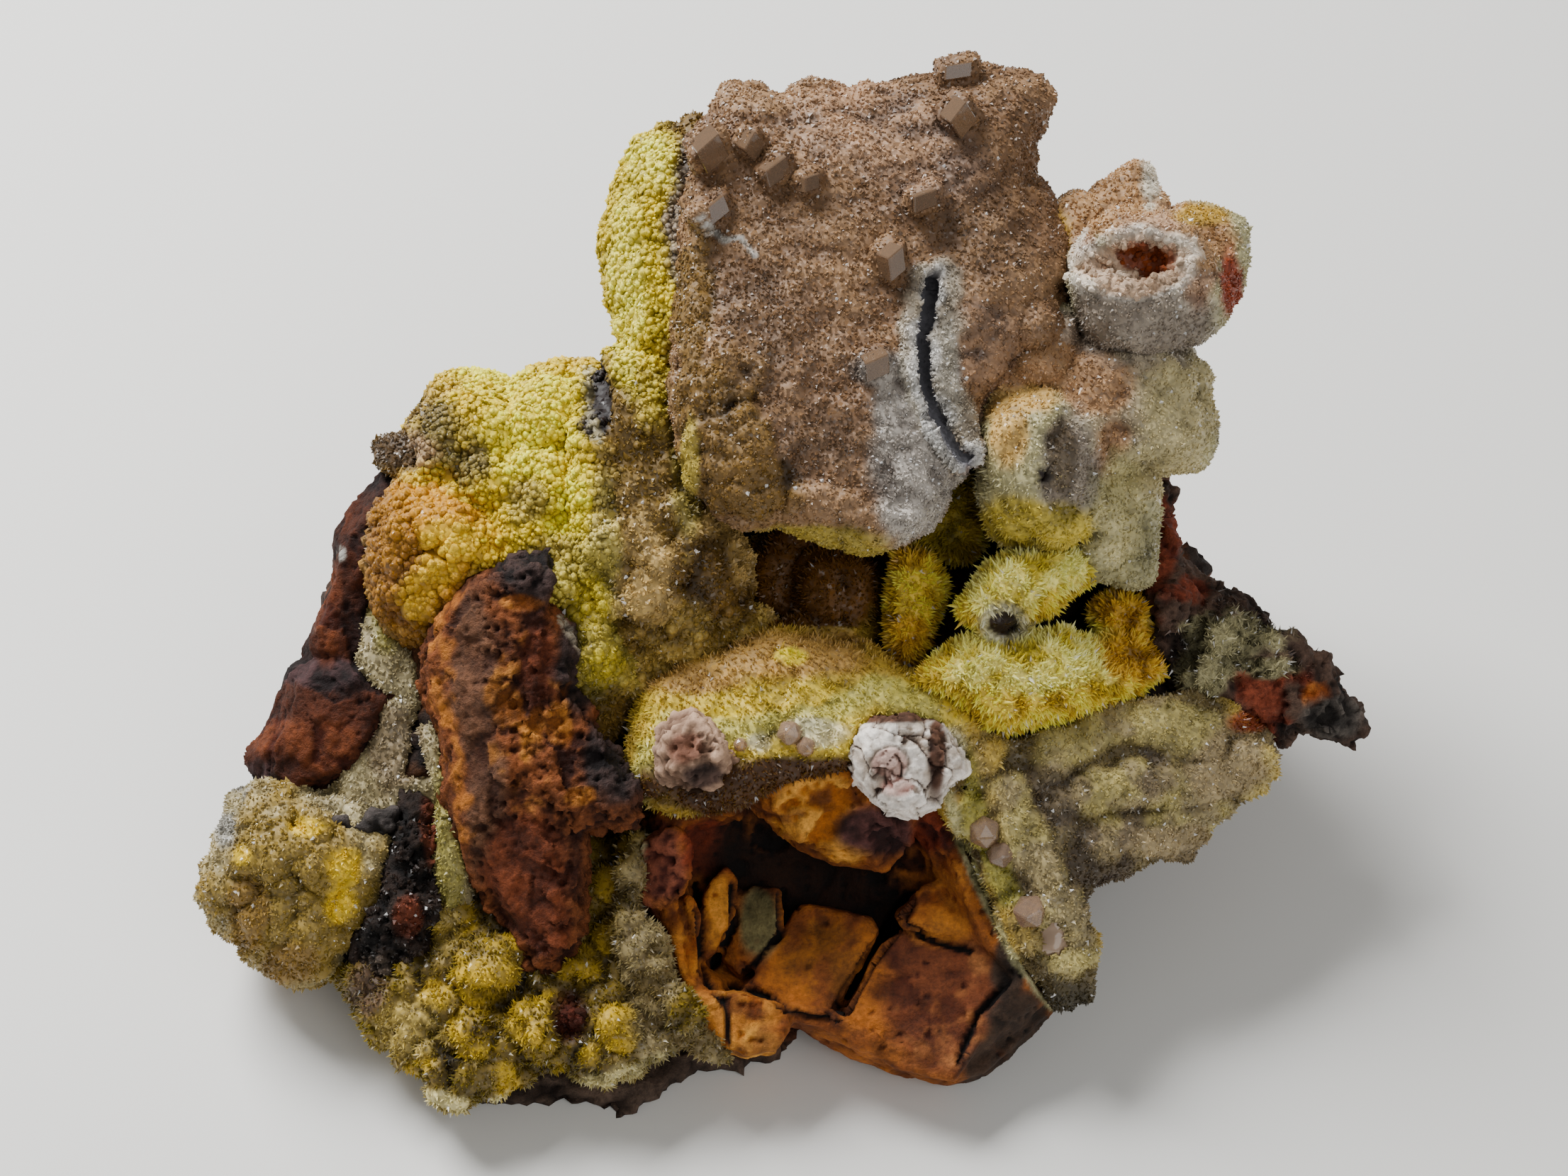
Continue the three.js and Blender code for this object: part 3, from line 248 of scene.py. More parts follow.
class Skin:
    """The skin of a piece that stands for a CAD solid, rebuilt as small even faces."""

    def __init__(self, node, slot, material, voxel, swell, soften=4):
        self.piece = copy_of(node, slot, material)
        self.slot = slot
        remesh = self.piece.modifiers.new("Even skin", "REMESH")
        remesh.mode = "VOXEL"
        remesh.voxel_size = voxel
        smooth = self.piece.modifiers.new("Soften", "SMOOTH")
        smooth.factor = 0.5
        smooth.iterations = soften
        swelling = self.piece.modifiers.new("Swell", "DISPLACE")
        swelling.strength = swell
        swelling.mid_level = 0
        seen = self.piece.evaluated_get(bpy.context.evaluated_depsgraph_get())
        self.mesh = bpy.data.meshes.new_from_object(seen)
        self.piece.modifiers.clear()
        self.piece.data = self.mesh
        self.mesh.shade_smooth()
        self.read()
        self.rise = np.zeros(len(self.points))

    def read(self):
        self.points = values_of(self.mesh.vertices, "co")
        self.normals = values_of(self.mesh.vertex_normals, "vector")
        self.right, self.up, self.near = face_on(self.points)

    def wobble(self, size, seed):
        return wobble(self.points, size * MM, seed)

    def rough(self, size, seed, octaves=3):
        return rough(self.points, size * MM, seed, octaves)

    def cells(self, size, seed):
        return Cells(self.points, size * MM, seed)

    def bent(self, most, size, seed):
        """The points, each shifted by up to so many millimetres, for cells with wavy edges."""
        shift = np.stack([wobble(self.points, size * MM, seed + n) for n in range(3)], axis=1)
        return self.points + most * MM * shift

    def push(self, height):
        """Moves the skin out by a height at each vertex, but never into the table."""
        self.points += self.normals * height[:, None]
        self.points[:, 2] = np.maximum(self.points[:, 2], 0)
        self.mesh.vertices.foreach_set("co", self.points.ravel())
        self.mesh.update()
        self.rise += height
        self.read()

    def forget_relief(self, keep):
        """Keeps a share of the relief so far, so that the painted shade and light follow the finer relief
        to come.
        """
        self.rise *= keep

    def spots(self, *spots, ragged=0.35, soft=0.25):
        """1 inside the spots and 0 outside, with ragged soft edges.

        A spot is (right, up, half width, half height), in millimetres as the viewer sees it.
        """
        edge = ragged * (0.6 * self.wobble(3, 1) + 0.4 * self.wobble(1.1, 2))
        mask = np.zeros(len(self.points))
        for u, v, half_width, half_height in spots:
            far = np.hypot((self.right - u) / half_width, (self.up - v) / half_height) + edge
            mask = np.maximum(mask, smooth_step(far, 1 + soft, 1 - soft))
        return mask

    def line(self, line, width, ragged=0.25, least=0.25):
        """1 on a line through places that the viewer sees, and 0 from its width outwards."""
        place = np.stack([self.right, self.up], axis=1)
        nearest = np.full(len(place), 999.0)
        for start, end in zip(line, line[1:]):
            start, run = np.array(start), np.subtract(end, start)
            share = np.clip((place - start) @ run / (run @ run), 0, 1)
            nearest = np.minimum(nearest, np.linalg.norm(place - start - share[:, None] * run, axis=1))
        nearest += ragged * width * self.wobble(1.5, 3)
        return smooth_step(nearest, width, 0.45 * width) * self.facing(least, [TOWARDS])

    def facing(self, least=-0.35, sides=(TOWARDS, np.array([0, 0, 1]))):
        """1 where the skin faces the viewer or upwards."""
        most = np.max([self.normals @ side for side in sides], axis=0)
        return smooth_step(most, least - 0.15, least + 0.15)

    def paint(self, low, high, *patches, mottle=0.12):
        """Paints low in the hollows as painted shade, high on the rises as painted light, and patches of
        other colours.

        A patch is (low colour, high colour, where), and where is a mask or a list of spots.
        """
        bottom, top = np.percentile(self.rise, RELIEF_RANGE)
        level = self.rise + RELIEF_NOISE * (top - bottom) * self.wobble(1.5, 3)
        # Painted shade in the hollows and painted light on the rises, from the relief
        share = smooth_step(level, bottom, top)[:, None]
        colour = blend(low, high, share)
        for patch_low, patch_high, where in patches:
            mask = self.spots(*where) if isinstance(where, list) else where
            colour += (blend(patch_low, patch_high, share) - colour) * mask[:, None]
        shade = 1 + mottle * self.rough(4, 4) + mottle * self.rough(0.9, 7, 2)
        store_paint(self.mesh, np.clip(colour * shade[:, None], 0, 1))

    def place(self, u, v):
        """Where the viewer's ray through a place meets the skin."""
        bm = bmesh.new()
        bm.from_mesh(self.mesh)
        tree = BVHTree.FromBMesh(bm)
        bm.free()
        aim = VIEW_TARGET + MM * (u * RIGHTWARDS + v * UPWARDS) - CAMERA_PLACE
        hit = tree.ray_cast(Vector(CAMERA_PLACE), Vector(aim))[0]
        if hit is None:
            raise ValueError(f"nothing of {self.piece.name} is seen at {u}, {v}")
        return hit


def values_of(items, attribute):
    """A vector for each item, as one array."""
    values = np.empty(3 * len(items))
    items.foreach_get(attribute, values)
    return values.reshape(-1, 3)


def blend(low, high, share):
    return linear(low) * (1 - share) + linear(high) * share


def store_paint(mesh, colour):
    """Keeps a colour on each vertex, for the materials to read."""
    attribute = mesh.attributes.new(PAINT, "FLOAT_COLOR", "POINT")
    attribute.data.foreach_set("color", np.column_stack([colour, np.ones(len(colour))]).ravel())


def paint_of(mesh):
    rgba = np.empty(4 * len(mesh.vertices))
    mesh.attributes[PAINT].data.foreach_get("color", rgba)
    return rgba.reshape(-1, 4)[:, :3]


# Small crystals, each kind many copies of one shape in one mesh


def shape_of(bm):
    """The points and triangles of a small shape, which is then freed."""
    bmesh.ops.recalc_face_normals(bm, faces=bm.faces)
    bmesh.ops.triangulate(bm, faces=bm.faces)
    bm.verts.index_update()
    points = np.array([v.co for v in bm.verts])
    triangles = np.array([[v.index for v in f.verts] for f in bm.faces])
    bm.free()
    return points, triangles


def pointed_shape(sides):
    """A pointed crystal, one unit tall and one in half width."""
    bm = bmesh.new()
    bmesh.ops.create_cone(bm, cap_ends=True, segments=sides, radius1=1, radius2=0, depth=1)
    bmesh.ops.translate(bm, vec=(0, 0, 0.5), verts=bm.verts)
    bmesh.ops.remove_doubles(bm, verts=bm.verts, dist=MERGE_DISTANCE)
    return shape_of(bm)


def crumb_shape():
    """A crumb of broken core, with a few flat faces."""
    bm = bmesh.new()
    bmesh.ops.create_icosphere(bm, subdivisions=1, radius=1)
    bmesh.ops.scale(bm, vec=(1, 0.75, 0.7), verts=bm.verts)
    return shape_of(bm)


def bead_shape():
    """A round bead."""
    bm = bmesh.new()
    bmesh.ops.create_icosphere(bm, subdivisions=1, radius=1)
    return shape_of(bm)


def sample_surface(skin, mask, per_mm2, random):
    """Random places on a skin, as many per square millimetre as asked where the mask is 1."""
    mesh = skin.mesh
    mesh.calc_loop_triangles()
    corners = np.empty(3 * len(mesh.loop_triangles), dtype=np.int32)
    mesh.loop_triangles.foreach_get("vertices", corners)
    corners = corners.reshape(-1, 3)
    a, b, c = (skin.points[corners[:, i]] for i in range(3))
    chance = np.linalg.norm(np.cross(b - a, c - a), axis=1) / 2 * mask[corners].mean(axis=1)
    count = int(chance.sum() / MM**2 * per_mm2)
    chosen = np.searchsorted(np.cumsum(chance), random.random(count) * chance.sum())
    corner = corners[np.minimum(chosen, len(corners) - 1)]
    share = random.dirichlet((1, 1, 1), count)[:, :, None]
    place = (skin.points[corner] * share).sum(axis=1)
    normal = (skin.normals[corner] * share).sum(axis=1)
    colour = (paint_of(mesh)[corner] * share).sum(axis=1)
    return place, unit(normal), colour


def unit(vectors):
    return vectors / np.linalg.norm(vectors, axis=1)[:, None]


def grow(
    skin, name, kind, mask, per_mm2, tall, wide, seed,
    lean=0.35, sunk=0.15, spread=0.22, dark_foot=0.7, bright_tip=1.5, glints=0.0, smooth=False, vary=0.1,
):
    """Grows one kind of crystal, a material and a shape, over a skin where a mask is 1.

    Tall and wide are a mean crystal's length and half width, and spread is how much sizes differ. Lean
    tips them off the normal, and sunk is their share below the skin. Their paint is the skin's, darkened
    at the foot as painted shade and lightened at the tip as painted light, and varied by vary from one to
    the next; a share of them is painted near-white as painted glints.
    """
    random = np.random.default_rng(seed)
    place, normal, colour = sample_surface(skin, mask, per_mm2, random)
    count = len(place)
    axis = unit(normal + lean * random.normal(size=(count, 3)))
    side = unit(np.cross(axis, random.normal(size=(count, 3))))
    other = np.cross(axis, side)
    material, (points, triangles) = kind
    size = np.exp(spread * random.normal(size=count)).clip(*SIZE_LIMITS)[:, None, None]
    stretch = random.uniform(*STRETCH_LIMITS, count)[:, None, None]
    across = points[None, :, 0, None] * side[:, None] + points[None, :, 1, None] * other[:, None]
    upward = points[None, :, 2, None] * axis[:, None]
    grown = place[:, None] + size * (wide * across + tall * stretch * upward - sunk * tall * axis[:, None])
    foot_to_tip = (points[:, 2] - points[:, 2].min()) / np.ptp(points[:, 2])
    # Painted shade at each crystal's foot and painted light at its tip
    shade = (dark_foot + (bright_tip - dark_foot) * foot_to_tip)[None, :, None]
    colours = colour[:, None] * shade * (1 + random.normal(0, vary, count))[:, None, None]
    # A share of the crystals painted near-white, as painted glints
    painted_glint = (random.random(count) < glints)[:, None, None]
    colours = np.where(painted_glint, PAINTED_GLINT_KEEP * colours + PAINTED_GLINT_WHITE, colours)
    faces = triangles[None] + len(points) * np.arange(count)[:, None, None]
    grown = grown.reshape(-1, 3)
    grown[:, 2] = np.maximum(grown[:, 2], 0)
    mesh = bpy.data.meshes.new(name)
    mesh.from_pydata(grown, [], faces.reshape(-1, 3), shade_flat=not smooth)
    store_paint(mesh, np.clip(colours, 0, 1).reshape(-1, 3))
    return new_piece(name, mesh, None, skin.slot, material)


# Materials


def node_group(name, inputs, outputs):
    """A new node group with named inputs and outputs."""
    tree = bpy.data.node_groups.new(name, "ShaderNodeTree")
    for label, kind, value in inputs:
        socket = tree.interface.new_socket(label, in_out="INPUT", socket_type=f"NodeSocket{kind}")
        if value is not None:
            socket.default_value = value
    for label, kind in outputs:
        tree.interface.new_socket(label, in_out="OUTPUT", socket_type=f"NodeSocket{kind}")
    return tree, tree.nodes.new("NodeGroupInput"), tree.nodes.new("NodeGroupOutput")


def set_inputs(node, values):
    for key, value in values.items():
        node.inputs[key].default_value = value


def add_node(tree, kind, values=None, **settings):
    """A new node with its settings, and values on its inputs."""
    node = tree.nodes.new(f"ShaderNode{kind}")
    for key, value in settings.items():
        setattr(node, key, value)
    set_inputs(node, values or {})
    return node


def shaded_by(tree, given, level, loss, low, high, top=1.25):
    """The given paint, darkened by a loss where a level is low and lightened where it is high."""
    link = tree.links.new
    span = add_node(tree, "MapRange", {"From Min": low, "From Max": high, "To Max": top})
    floor = add_node(tree, "Math", {0: 1}, operation="SUBTRACT")
    link(given.outputs[loss], floor.inputs[1])
    link(floor.outputs[0], span.inputs["To Min"])
    link(level, span.inputs["Value"])
    shaded = add_node(tree, "VectorMath", operation="SCALE")
    link(given.outputs["Paint"], shaded.inputs[0])
    link(span.outputs[0], shaded.inputs["Scale"])
    return shaded.outputs[0]


def sparkle_group():
    """Tiny facets, each tipped its own way, so that a few of them catch the light."""
    name = "Druse sparkle"
    if name in bpy.data.node_groups:
        return bpy.data.node_groups[name]
    numbers = [("Facets", "Float", 3000.0), ("Tip", "Float", 0.5), ("Mottle", "Float", 0.25)]
    outputs = [("Color", "Color"), ("Normal", "Vector"), ("Roughness", "Float")]
    tree, given, result = node_group(name, [*numbers, ("Paint", "Color", None)], outputs)
    link = tree.links.new
    place = add_node(tree, "TexCoord")
    cells = add_node(tree, "TexVoronoi", feature="F1")
    link(place.outputs["Object"], cells.inputs["Vector"])
    link(given.outputs["Facets"], cells.inputs["Scale"])
    centred = add_node(tree, "VectorMath", {1: (0.5, 0.5, 0.5)}, operation="SUBTRACT")
    link(cells.outputs["Color"], centred.inputs[0])
    tipped = add_node(tree, "VectorMath", operation="SCALE")
    link(centred.outputs[0], tipped.inputs[0])
    link(given.outputs["Tip"], tipped.inputs["Scale"])
    surface = add_node(tree, "NewGeometry")
    added = add_node(tree, "VectorMath", operation="ADD")
    link(surface.outputs["Normal"], added.inputs[0])
    link(tipped.outputs[0], added.inputs[1])
    facing = add_node(tree, "VectorMath", operation="NORMALIZE")
    link(added.outputs[0], facing.inputs[0])
    link(facing.outputs[0], result.inputs["Normal"])
    parts = add_node(tree, "SeparateColor")
    link(cells.outputs["Color"], parts.inputs[0])
    polish = add_node(tree, "MapRange", {"From Min": 0.8, "From Max": 0.9, "To Min": 0.6, "To Max": 0.15})
    link(parts.outputs[0], polish.inputs["Value"])
    link(polish.outputs[0], result.inputs["Roughness"])
    link(shaded_by(tree, given, parts.outputs[1], "Mottle", 0, 1), result.inputs["Color"])
    return tree


def earth_group():
    """Powdery stains and fine pits for limonite."""
    name = "Limonite earth"
    if name in bpy.data.node_groups:
        return bpy.data.node_groups[name]
    inputs = [("Stain", "Float", 0.5), ("Paint", "Color", None)]
    outputs = [("Color", "Color"), ("Height", "Float"), ("Roughness", "Float")]
    tree, given, result = node_group(name, inputs, outputs)
    link = tree.links.new
    place = add_node(tree, "TexCoord")
    layers = []
    for scale, detail in ((420, 7), (2100, 4)):
        noise = add_node(tree, "TexNoise", {"Scale": scale, "Detail": detail, "Roughness": 0.68})
        link(place.outputs["Object"], noise.inputs["Vector"])
        half = add_node(tree, "Math", {1: 0.5}, operation="MULTIPLY")
        link(noise.outputs[0], half.inputs[0])
        layers.append(half)
    both = add_node(tree, "Math", operation="ADD")
    link(layers[0].outputs[0], both.inputs[0])
    link(layers[1].outputs[0], both.inputs[1])
    link(shaded_by(tree, given, both.outputs[0], "Stain", 0.38, 0.62, 1.4), result.inputs["Color"])
    link(both.outputs[0], result.inputs["Height"])
    dull = add_node(tree, "MapRange", {"To Min": 0.65, "To Max": 1.0})
    link(both.outputs[0], dull.inputs["Value"])
    link(dull.outputs[0], result.inputs["Roughness"])
    return tree


def new_material(name):
    """A new material with its tree, its shader and the node that reads the painted colour."""
    material = bpy.data.materials.new(name)
    material.use_nodes = True
    tree = material.node_tree
    painted = add_node(tree, "Attribute", attribute_name=PAINT)
    return material, tree, tree.nodes["Principled BSDF"], painted


def glow_through(shader, share):
    """Lets light pass a little way into crystals, and red furthest."""
    radius = (0.9 * MM, 0.7 * MM, 0.25 * MM)
    set_inputs(shader, {"Subsurface Weight": share, "Subsurface Radius": radius, "Subsurface Scale": 1.0})


def druse_material(name, facet, tip, mottle=0.3, glow=0.0, gloss=0.4):
    """Crystal crust: facet is the width of its facets."""
    if name in bpy.data.materials:
        return bpy.data.materials[name]
    material, tree, shader, painted = new_material(name)
    values = {"Facets": 1 / facet, "Tip": tip, "Mottle": mottle}
    sparkle = add_node(tree, "Group", values, node_tree=sparkle_group())
    tree.links.new(painted.outputs["Color"], sparkle.inputs["Paint"])
    for output, socket in (("Color", "Base Color"), ("Normal", "Normal"), ("Roughness", "Roughness")):
        tree.links.new(sparkle.outputs[output], shader.inputs[socket])
    set_inputs(shader, {"Specular IOR Level": gloss})
    glow_through(shader, glow)
    return material


def crystal_material(name, roughness, glow=0.0, gloss=0.4):
    """Small crystals, each with the colour painted on it."""
    if name in bpy.data.materials:
        return bpy.data.materials[name]
    material, tree, shader, painted = new_material(name)
    tree.links.new(painted.outputs["Color"], shader.inputs["Base Color"])
    set_inputs(shader, {"Roughness": roughness, "Specular IOR Level": gloss})
    glow_through(shader, glow)
    return material


def limonite_material(name, stain, depth):
    """Dull iron earth: depth is that of its fine grain."""
    if name in bpy.data.materials:
        return bpy.data.materials[name]
    material, tree, shader, painted = new_material(name)
    link = tree.links.new
    earth = add_node(tree, "Group", {"Stain": stain}, node_tree=earth_group())
    grain = add_node(tree, "Bump", {"Distance": depth})
    link(painted.outputs["Color"], earth.inputs["Paint"])
    link(earth.outputs["Color"], shader.inputs["Base Color"])
    link(earth.outputs["Roughness"], shader.inputs["Roughness"])
    link(earth.outputs["Height"], grain.inputs["Height"])
    link(grain.outputs["Normal"], shader.inputs["Normal"])
    set_inputs(shader, {"Specular IOR Level": 0.25})
    return material


def plain_material(name, values):
    """A material of one finish, with values on its shader."""
    if name in bpy.data.materials:
        return bpy.data.materials[name]
    material = bpy.data.materials.new(name)
    material.use_nodes = True
    set_inputs(material.node_tree.nodes["Principled BSDF"], values)
    return material


def calcite_material(name, colour, see_through):
    """Calcite: glassy, with a faint colour of its own."""
    base = (*linear(colour), 1)
    return plain_material(
        name, {"Base Color": base, "Roughness": 0.05, "IOR": 1.58, "Transmission Weight": see_through}
    )


def limonite():
    return limonite_material("Limonite", stain=0.5, depth=0.8 * MM)


def chalky_core():
    return limonite_material("Chalky core", stain=0.25, depth=0.2 * MM)


def bead_material():
    return druse_material("Mimetite beads", facet=0.2 * MM, tip=0.6, mottle=0.25, glow=0.2, gloss=0.35)


# Kinds of small crystals, each a material and a shape


def druse_grains():
    return crystal_material("Druse grains", roughness=0.35), pointed_shape(GRAIN_SIDES)


def needles():
    return crystal_material("Druse grains", roughness=0.35), pointed_shape(SPINE_SIDES)


def bed_spines():
    return crystal_material("Mimetite spines", roughness=0.35, glow=0.2), pointed_shape(SPINE_SIDES)


def finger_spines():
    return crystal_material("Mimetite spines", roughness=0.35, glow=0.2), pointed_shape(FINGER_SPINE_SIDES)


def pointed_beads():
    return bead_material(), pointed_shape(DOME_SIDES)


def round_beads():
    return bead_material(), bead_shape()


def rust_crumbs():
    return limonite(), crumb_shape()


def chalk_crumbs():
    return chalky_core(), crumb_shape()


# Sizes and colours that can be changed


class SpecimenLook(bpy.types.PropertyGroup):
    fine_skin: length("Fine skin", "Face size of the pieces seen closest", 0.34)
    middle_skin: length("Middle skin", "Face size of the druse beds", 0.4)
    coarse_skin: length("Coarse skin", "Face size of the body of limonite", 0.74)
    closing: length("Closing", "How far pieces swell to close the gaps between them", 0.24)
    spine: length("Spine", "Length of the spines on the fingers", 0.66)
    spine_girth: length("Spine girth", "Half width of a spine", 0.15)
    spines: density("Spines", "Spines", 11.5)
    short_spine: length("Short spine", "Length of the spines on the yellow beds", 0.5)
    grain: length("Grain", "Height of a druse grain", 0.27)
    grain_girth: length("Grain girth", "Half width of a druse grain", 0.17)
    grains: density("Grains", "Druse grains", 6.5)
    bead: length("Bead", "Half width of a bead on the lemon bed", 0.42)
    beads: density("Beads", "Beads", 3.0)
    seed: IntProperty(name="Seed", description="Starts the random placing of crystals", default=7)
    lamp: FloatProperty(name="Lamp", description="Power of the window light", default=12.5, unit="POWER")
    fill: FloatProperty(name="Fill", description="Power of the fill light", default=2.0, unit="POWER")
    sky: FloatProperty(name="Sky", description="Strength of the light all round", default=0.3)
    # The slab's low colour is the painted shade in its hollows, its high colour the painted light on its
    # rises
    slab_low: tint("Slab hollows", "#6a4e35")
    slab_high: tint("Slab", "#8c6c4c")
    floor: tint("Floor", "#e4e3df")


def code_of(colour):
    """The web code of a colour that is set in the panel."""
    parts = [12.92 * c if c < 0.0031 else 1.055 * c ** (1 / 2.4) - 0.055 for c in colour]
    return "#" + "".join(f"{round(255 * min(max(p, 0), 1)):02x}" for p in parts)


class SpecimenOperator(bpy.types.Operator):
    """Base of the operators: each makes its part from the sizes in the panel."""

    bl_options = {"REGISTER", "UNDO"}

    def execute(self, context):
        self.make(context.scene.specimen_look)
        return {"FINISHED"}


# The limonite


def weather(skin, facets, relief, grain, seed, where=1.0):
    """Breaks a rock into facets of two sizes, with a crumbly grain and small pits."""
    bent = skin.bent(0.8, 3, seed + 5)
    broad = Cells(bent, 6 * MM, seed)
    middle = Cells(bent, 2.6 * MM, seed + 1)
    skin.push(facets * np.clip(broad.tilt, -1, 1) + where * relief * 0.6 * middle.tilt)
    crumbs = skin.cells(0.9, seed + 2)
    pits = smooth_step(crumbs.near, 0.5, 0.2) * (crumbs.shade > 0.75)
    fine = skin.rough(1.4, seed + 3, 3)
    skin.push(where * grain * (0.8 * fine + 0.5 * crumbs.tilt - 0.9 * pits))


class SPECIMEN_OT_limonite_body(SpecimenOperator):
    """Weathers the body of limonite that everything grew on."""

    bl_idname = "specimen.limonite_body"
    bl_label = "Limonite body"

    def make(self, sizes):
        skin = Skin("limonite_body", "limonite", limonite(), sizes.coarse_skin, sizes.closing, soften=3)
        weather(skin, facets=0.9 * MM, relief=0.9 * MM, grain=0.6 * MM, seed=20)
        plates = skin.cells(7, 25).shade
        skin.paint(
            "#1f1510", "#5a3820",
            ("#16100e", "#3d302a", smooth_step(plates, 0.5, 0.75)),
            ("#43220f", "#7c4422", smooth_step(plates, 0.3, 0.1)),
            ("#241a15", "#5e4c40", [(-20, -50, 24, 7)]),
            ("#141010", "#3a302b", [(30, 5, 12, 8)]),
            ("#6a3010", "#96501f", [(37, 3, 3, 7)]),
        )


class SPECIMEN_OT_limonite_rocks(SpecimenOperator):
    """Weathers the upright rust slab and the rocks at the left, front and right."""

    bl_idname = "specimen.limonite_rocks"
    bl_label = "Limonite rocks"

    VOXEL = 0.27 * MM
    WORN_EDGE = [(-32, 1), (-34.8, -4), (-34.8, -10), (-33.2, -18), (-32, -24)]
    OCHRE = [(-27, -1.4, 1.8, 0.9), (-22.6, -13, 1.2, 2.6), (-20.6, -21, 1.6, 0.8)]
    PALE_VEIN = [(-22.6, -3), (-20, -7), (-17.6, -11)]

    def make(self, sizes):
        self.rust_slab(sizes)
        self.left_rock(sizes)
        self.dark_rock(sizes)
        self.right_rock(sizes)

    def rust_slab(self, sizes):
        skin = Skin("rust_slab", "limonite", limonite(), self.VOXEL, sizes.closing, soften=1)
        velvet = skin.spots((-32, -13, 3, 12), (-27, -29, 3, 6), (-33, -6, 2, 8))
        weather(skin, facets=0.5 * MM, relief=0.9 * MM, grain=0.65 * MM, seed=30, where=1 - 0.65 * velvet)
        worn = smooth_step(skin.rough(2.2, 36), -0.25, 0.15)
        ochre = skin.spots(*self.OCHRE, ragged=1.2)
        skin.paint(
            "#30140a", "#7c4422",
            ("#3a2015", "#6a4630", [(-31.2, -9, 2.6, 9), (-30, -22, 2.2, 7)]),
            ("#6a3410", "#b06c28", skin.line(self.WORN_EDGE, 1.4, ragged=0.7) * worn),
            ("#7a4416", "#b4742e", skin.spots((-26.6, -12, 2.6, 6), (-25, -21, 2.4, 4), ragged=1.1) * worn),
            ("#461e0e", "#74391e", [(-26, -28, 4, 6), (-24, -34, 2.4, 3), (-24.6, -8, 2, 4)]),
            ("#120c0c", "#44332f", [(-25.4, 2, 3.6, 3.6), (-20.6, -8, 2.6, 5), (-17, -17, 3.4, 5)]),
            ("#5c5044", "#a89c88", skin.line(self.PALE_VEIN, 0.5)),
            ("#7a4216", "#b4722e", ochre),
        )

    def left_rock(self, sizes):
        skin = Skin("left_rock", "limonite", limonite(), self.VOXEL, sizes.closing, soften=1)
        weather(skin, facets=0.35 * MM, relief=0.25 * MM, grain=0.25 * MM, seed=40)
        pale = skin.spots((-44.6, 3.4, 0.5, 0.8), (-47.6, -3.6, 0.4, 1.0))
        skin.paint(
            "#200a05", "#4c2412",
            ("#1a0f0e", "#422a24", [(-39.5, 11, 2.6, 4), (-39.4, 2, 1.6, 7), (-41, -4, 2, 4)]),
            ("#1a1010", "#463030", [(-46, -8.6, 5, 1.6), (-38, -8, 2.4, 1.6), (-53, -20, 1.6, 3)]),
            ("#42190a", "#6e381c", [(-46, -16, 3, 3), (-51, -15, 4, 2), (-46, -2, 1.4, 5)]),
            ("#8f8a80", "#b4b0a8", pale * skin.facing(0.5, [TOWARDS])),
        )

    def dark_rock(self, sizes):
        skin = Skin("dark_rock", "dark_limonite", limonite(), self.VOXEL, sizes.closing, soften=1)
        weather(skin, facets=0.6 * MM, relief=1.0 * MM, grain=0.9 * MM, seed=50)
        skin.paint(
            "#0a0706", "#2c201a",
            ("#3c1c10", "#6b3522", [(-35.4, -24, 1.2, 4), (-38, -33, 1.4, 2)]),
            ("#241d18", "#66584c", [(-41, -40, 3, 3), (-38, -44, 3, 3)]),
        )
        facets = skin.facing() * skin.spots((-38, -36, 6, 12))
        grow(
            skin, "dark_rock_grains", druse_grains(), facets,
            per_mm2=3, tall=0.3 * MM, wide=0.22 * MM, seed=sizes.seed + 50,
            glints=0.008,
        )

    def right_rock(self, sizes):
        skin = Skin("right_rock", "dark_limonite", limonite(), sizes.fine_skin, sizes.closing, soften=1)
        weather(skin, facets=0.9 * MM, relief=1.1 * MM, grain=0.6 * MM, seed=60)
        red = skin.spots((37.6, 5, 2, 6), (41, 0, 1.6, 1.6), (49, -10, 4, 3), (47.6, -16, 2, 3), ragged=0.9)
        crusted = skin.spots((46, -5, 5, 2.2), (42, -9, 3, 3), (49, -8, 3, 1.2), ragged=0.8)
        skin.paint(
            "#1c130f", "#5c463a",
            ("#4a180a", "#86402a", red),
            ("#8a4312", "#b8702e", [(53.6, -11, 1.5, 1.4)]),
            ("#4b4630", "#a8a078", crusted),
            ("#2b2724", "#6e655d", [(55, -13, 3, 2.4)]),
        )
        tufts = skin.spots((45.6, -4.6, 5.4, 2.6), (42, -8, 3.6, 3.4), (50, -8, 3, 1.6), ragged=0.8)
        grow(
            skin, "right_rock_needles", needles(), skin.facing() * tufts,
            per_mm2=8, tall=0.6 * MM, wide=0.12 * MM, seed=sizes.seed + 60,
            lean=0.6, glints=0.04,
        )


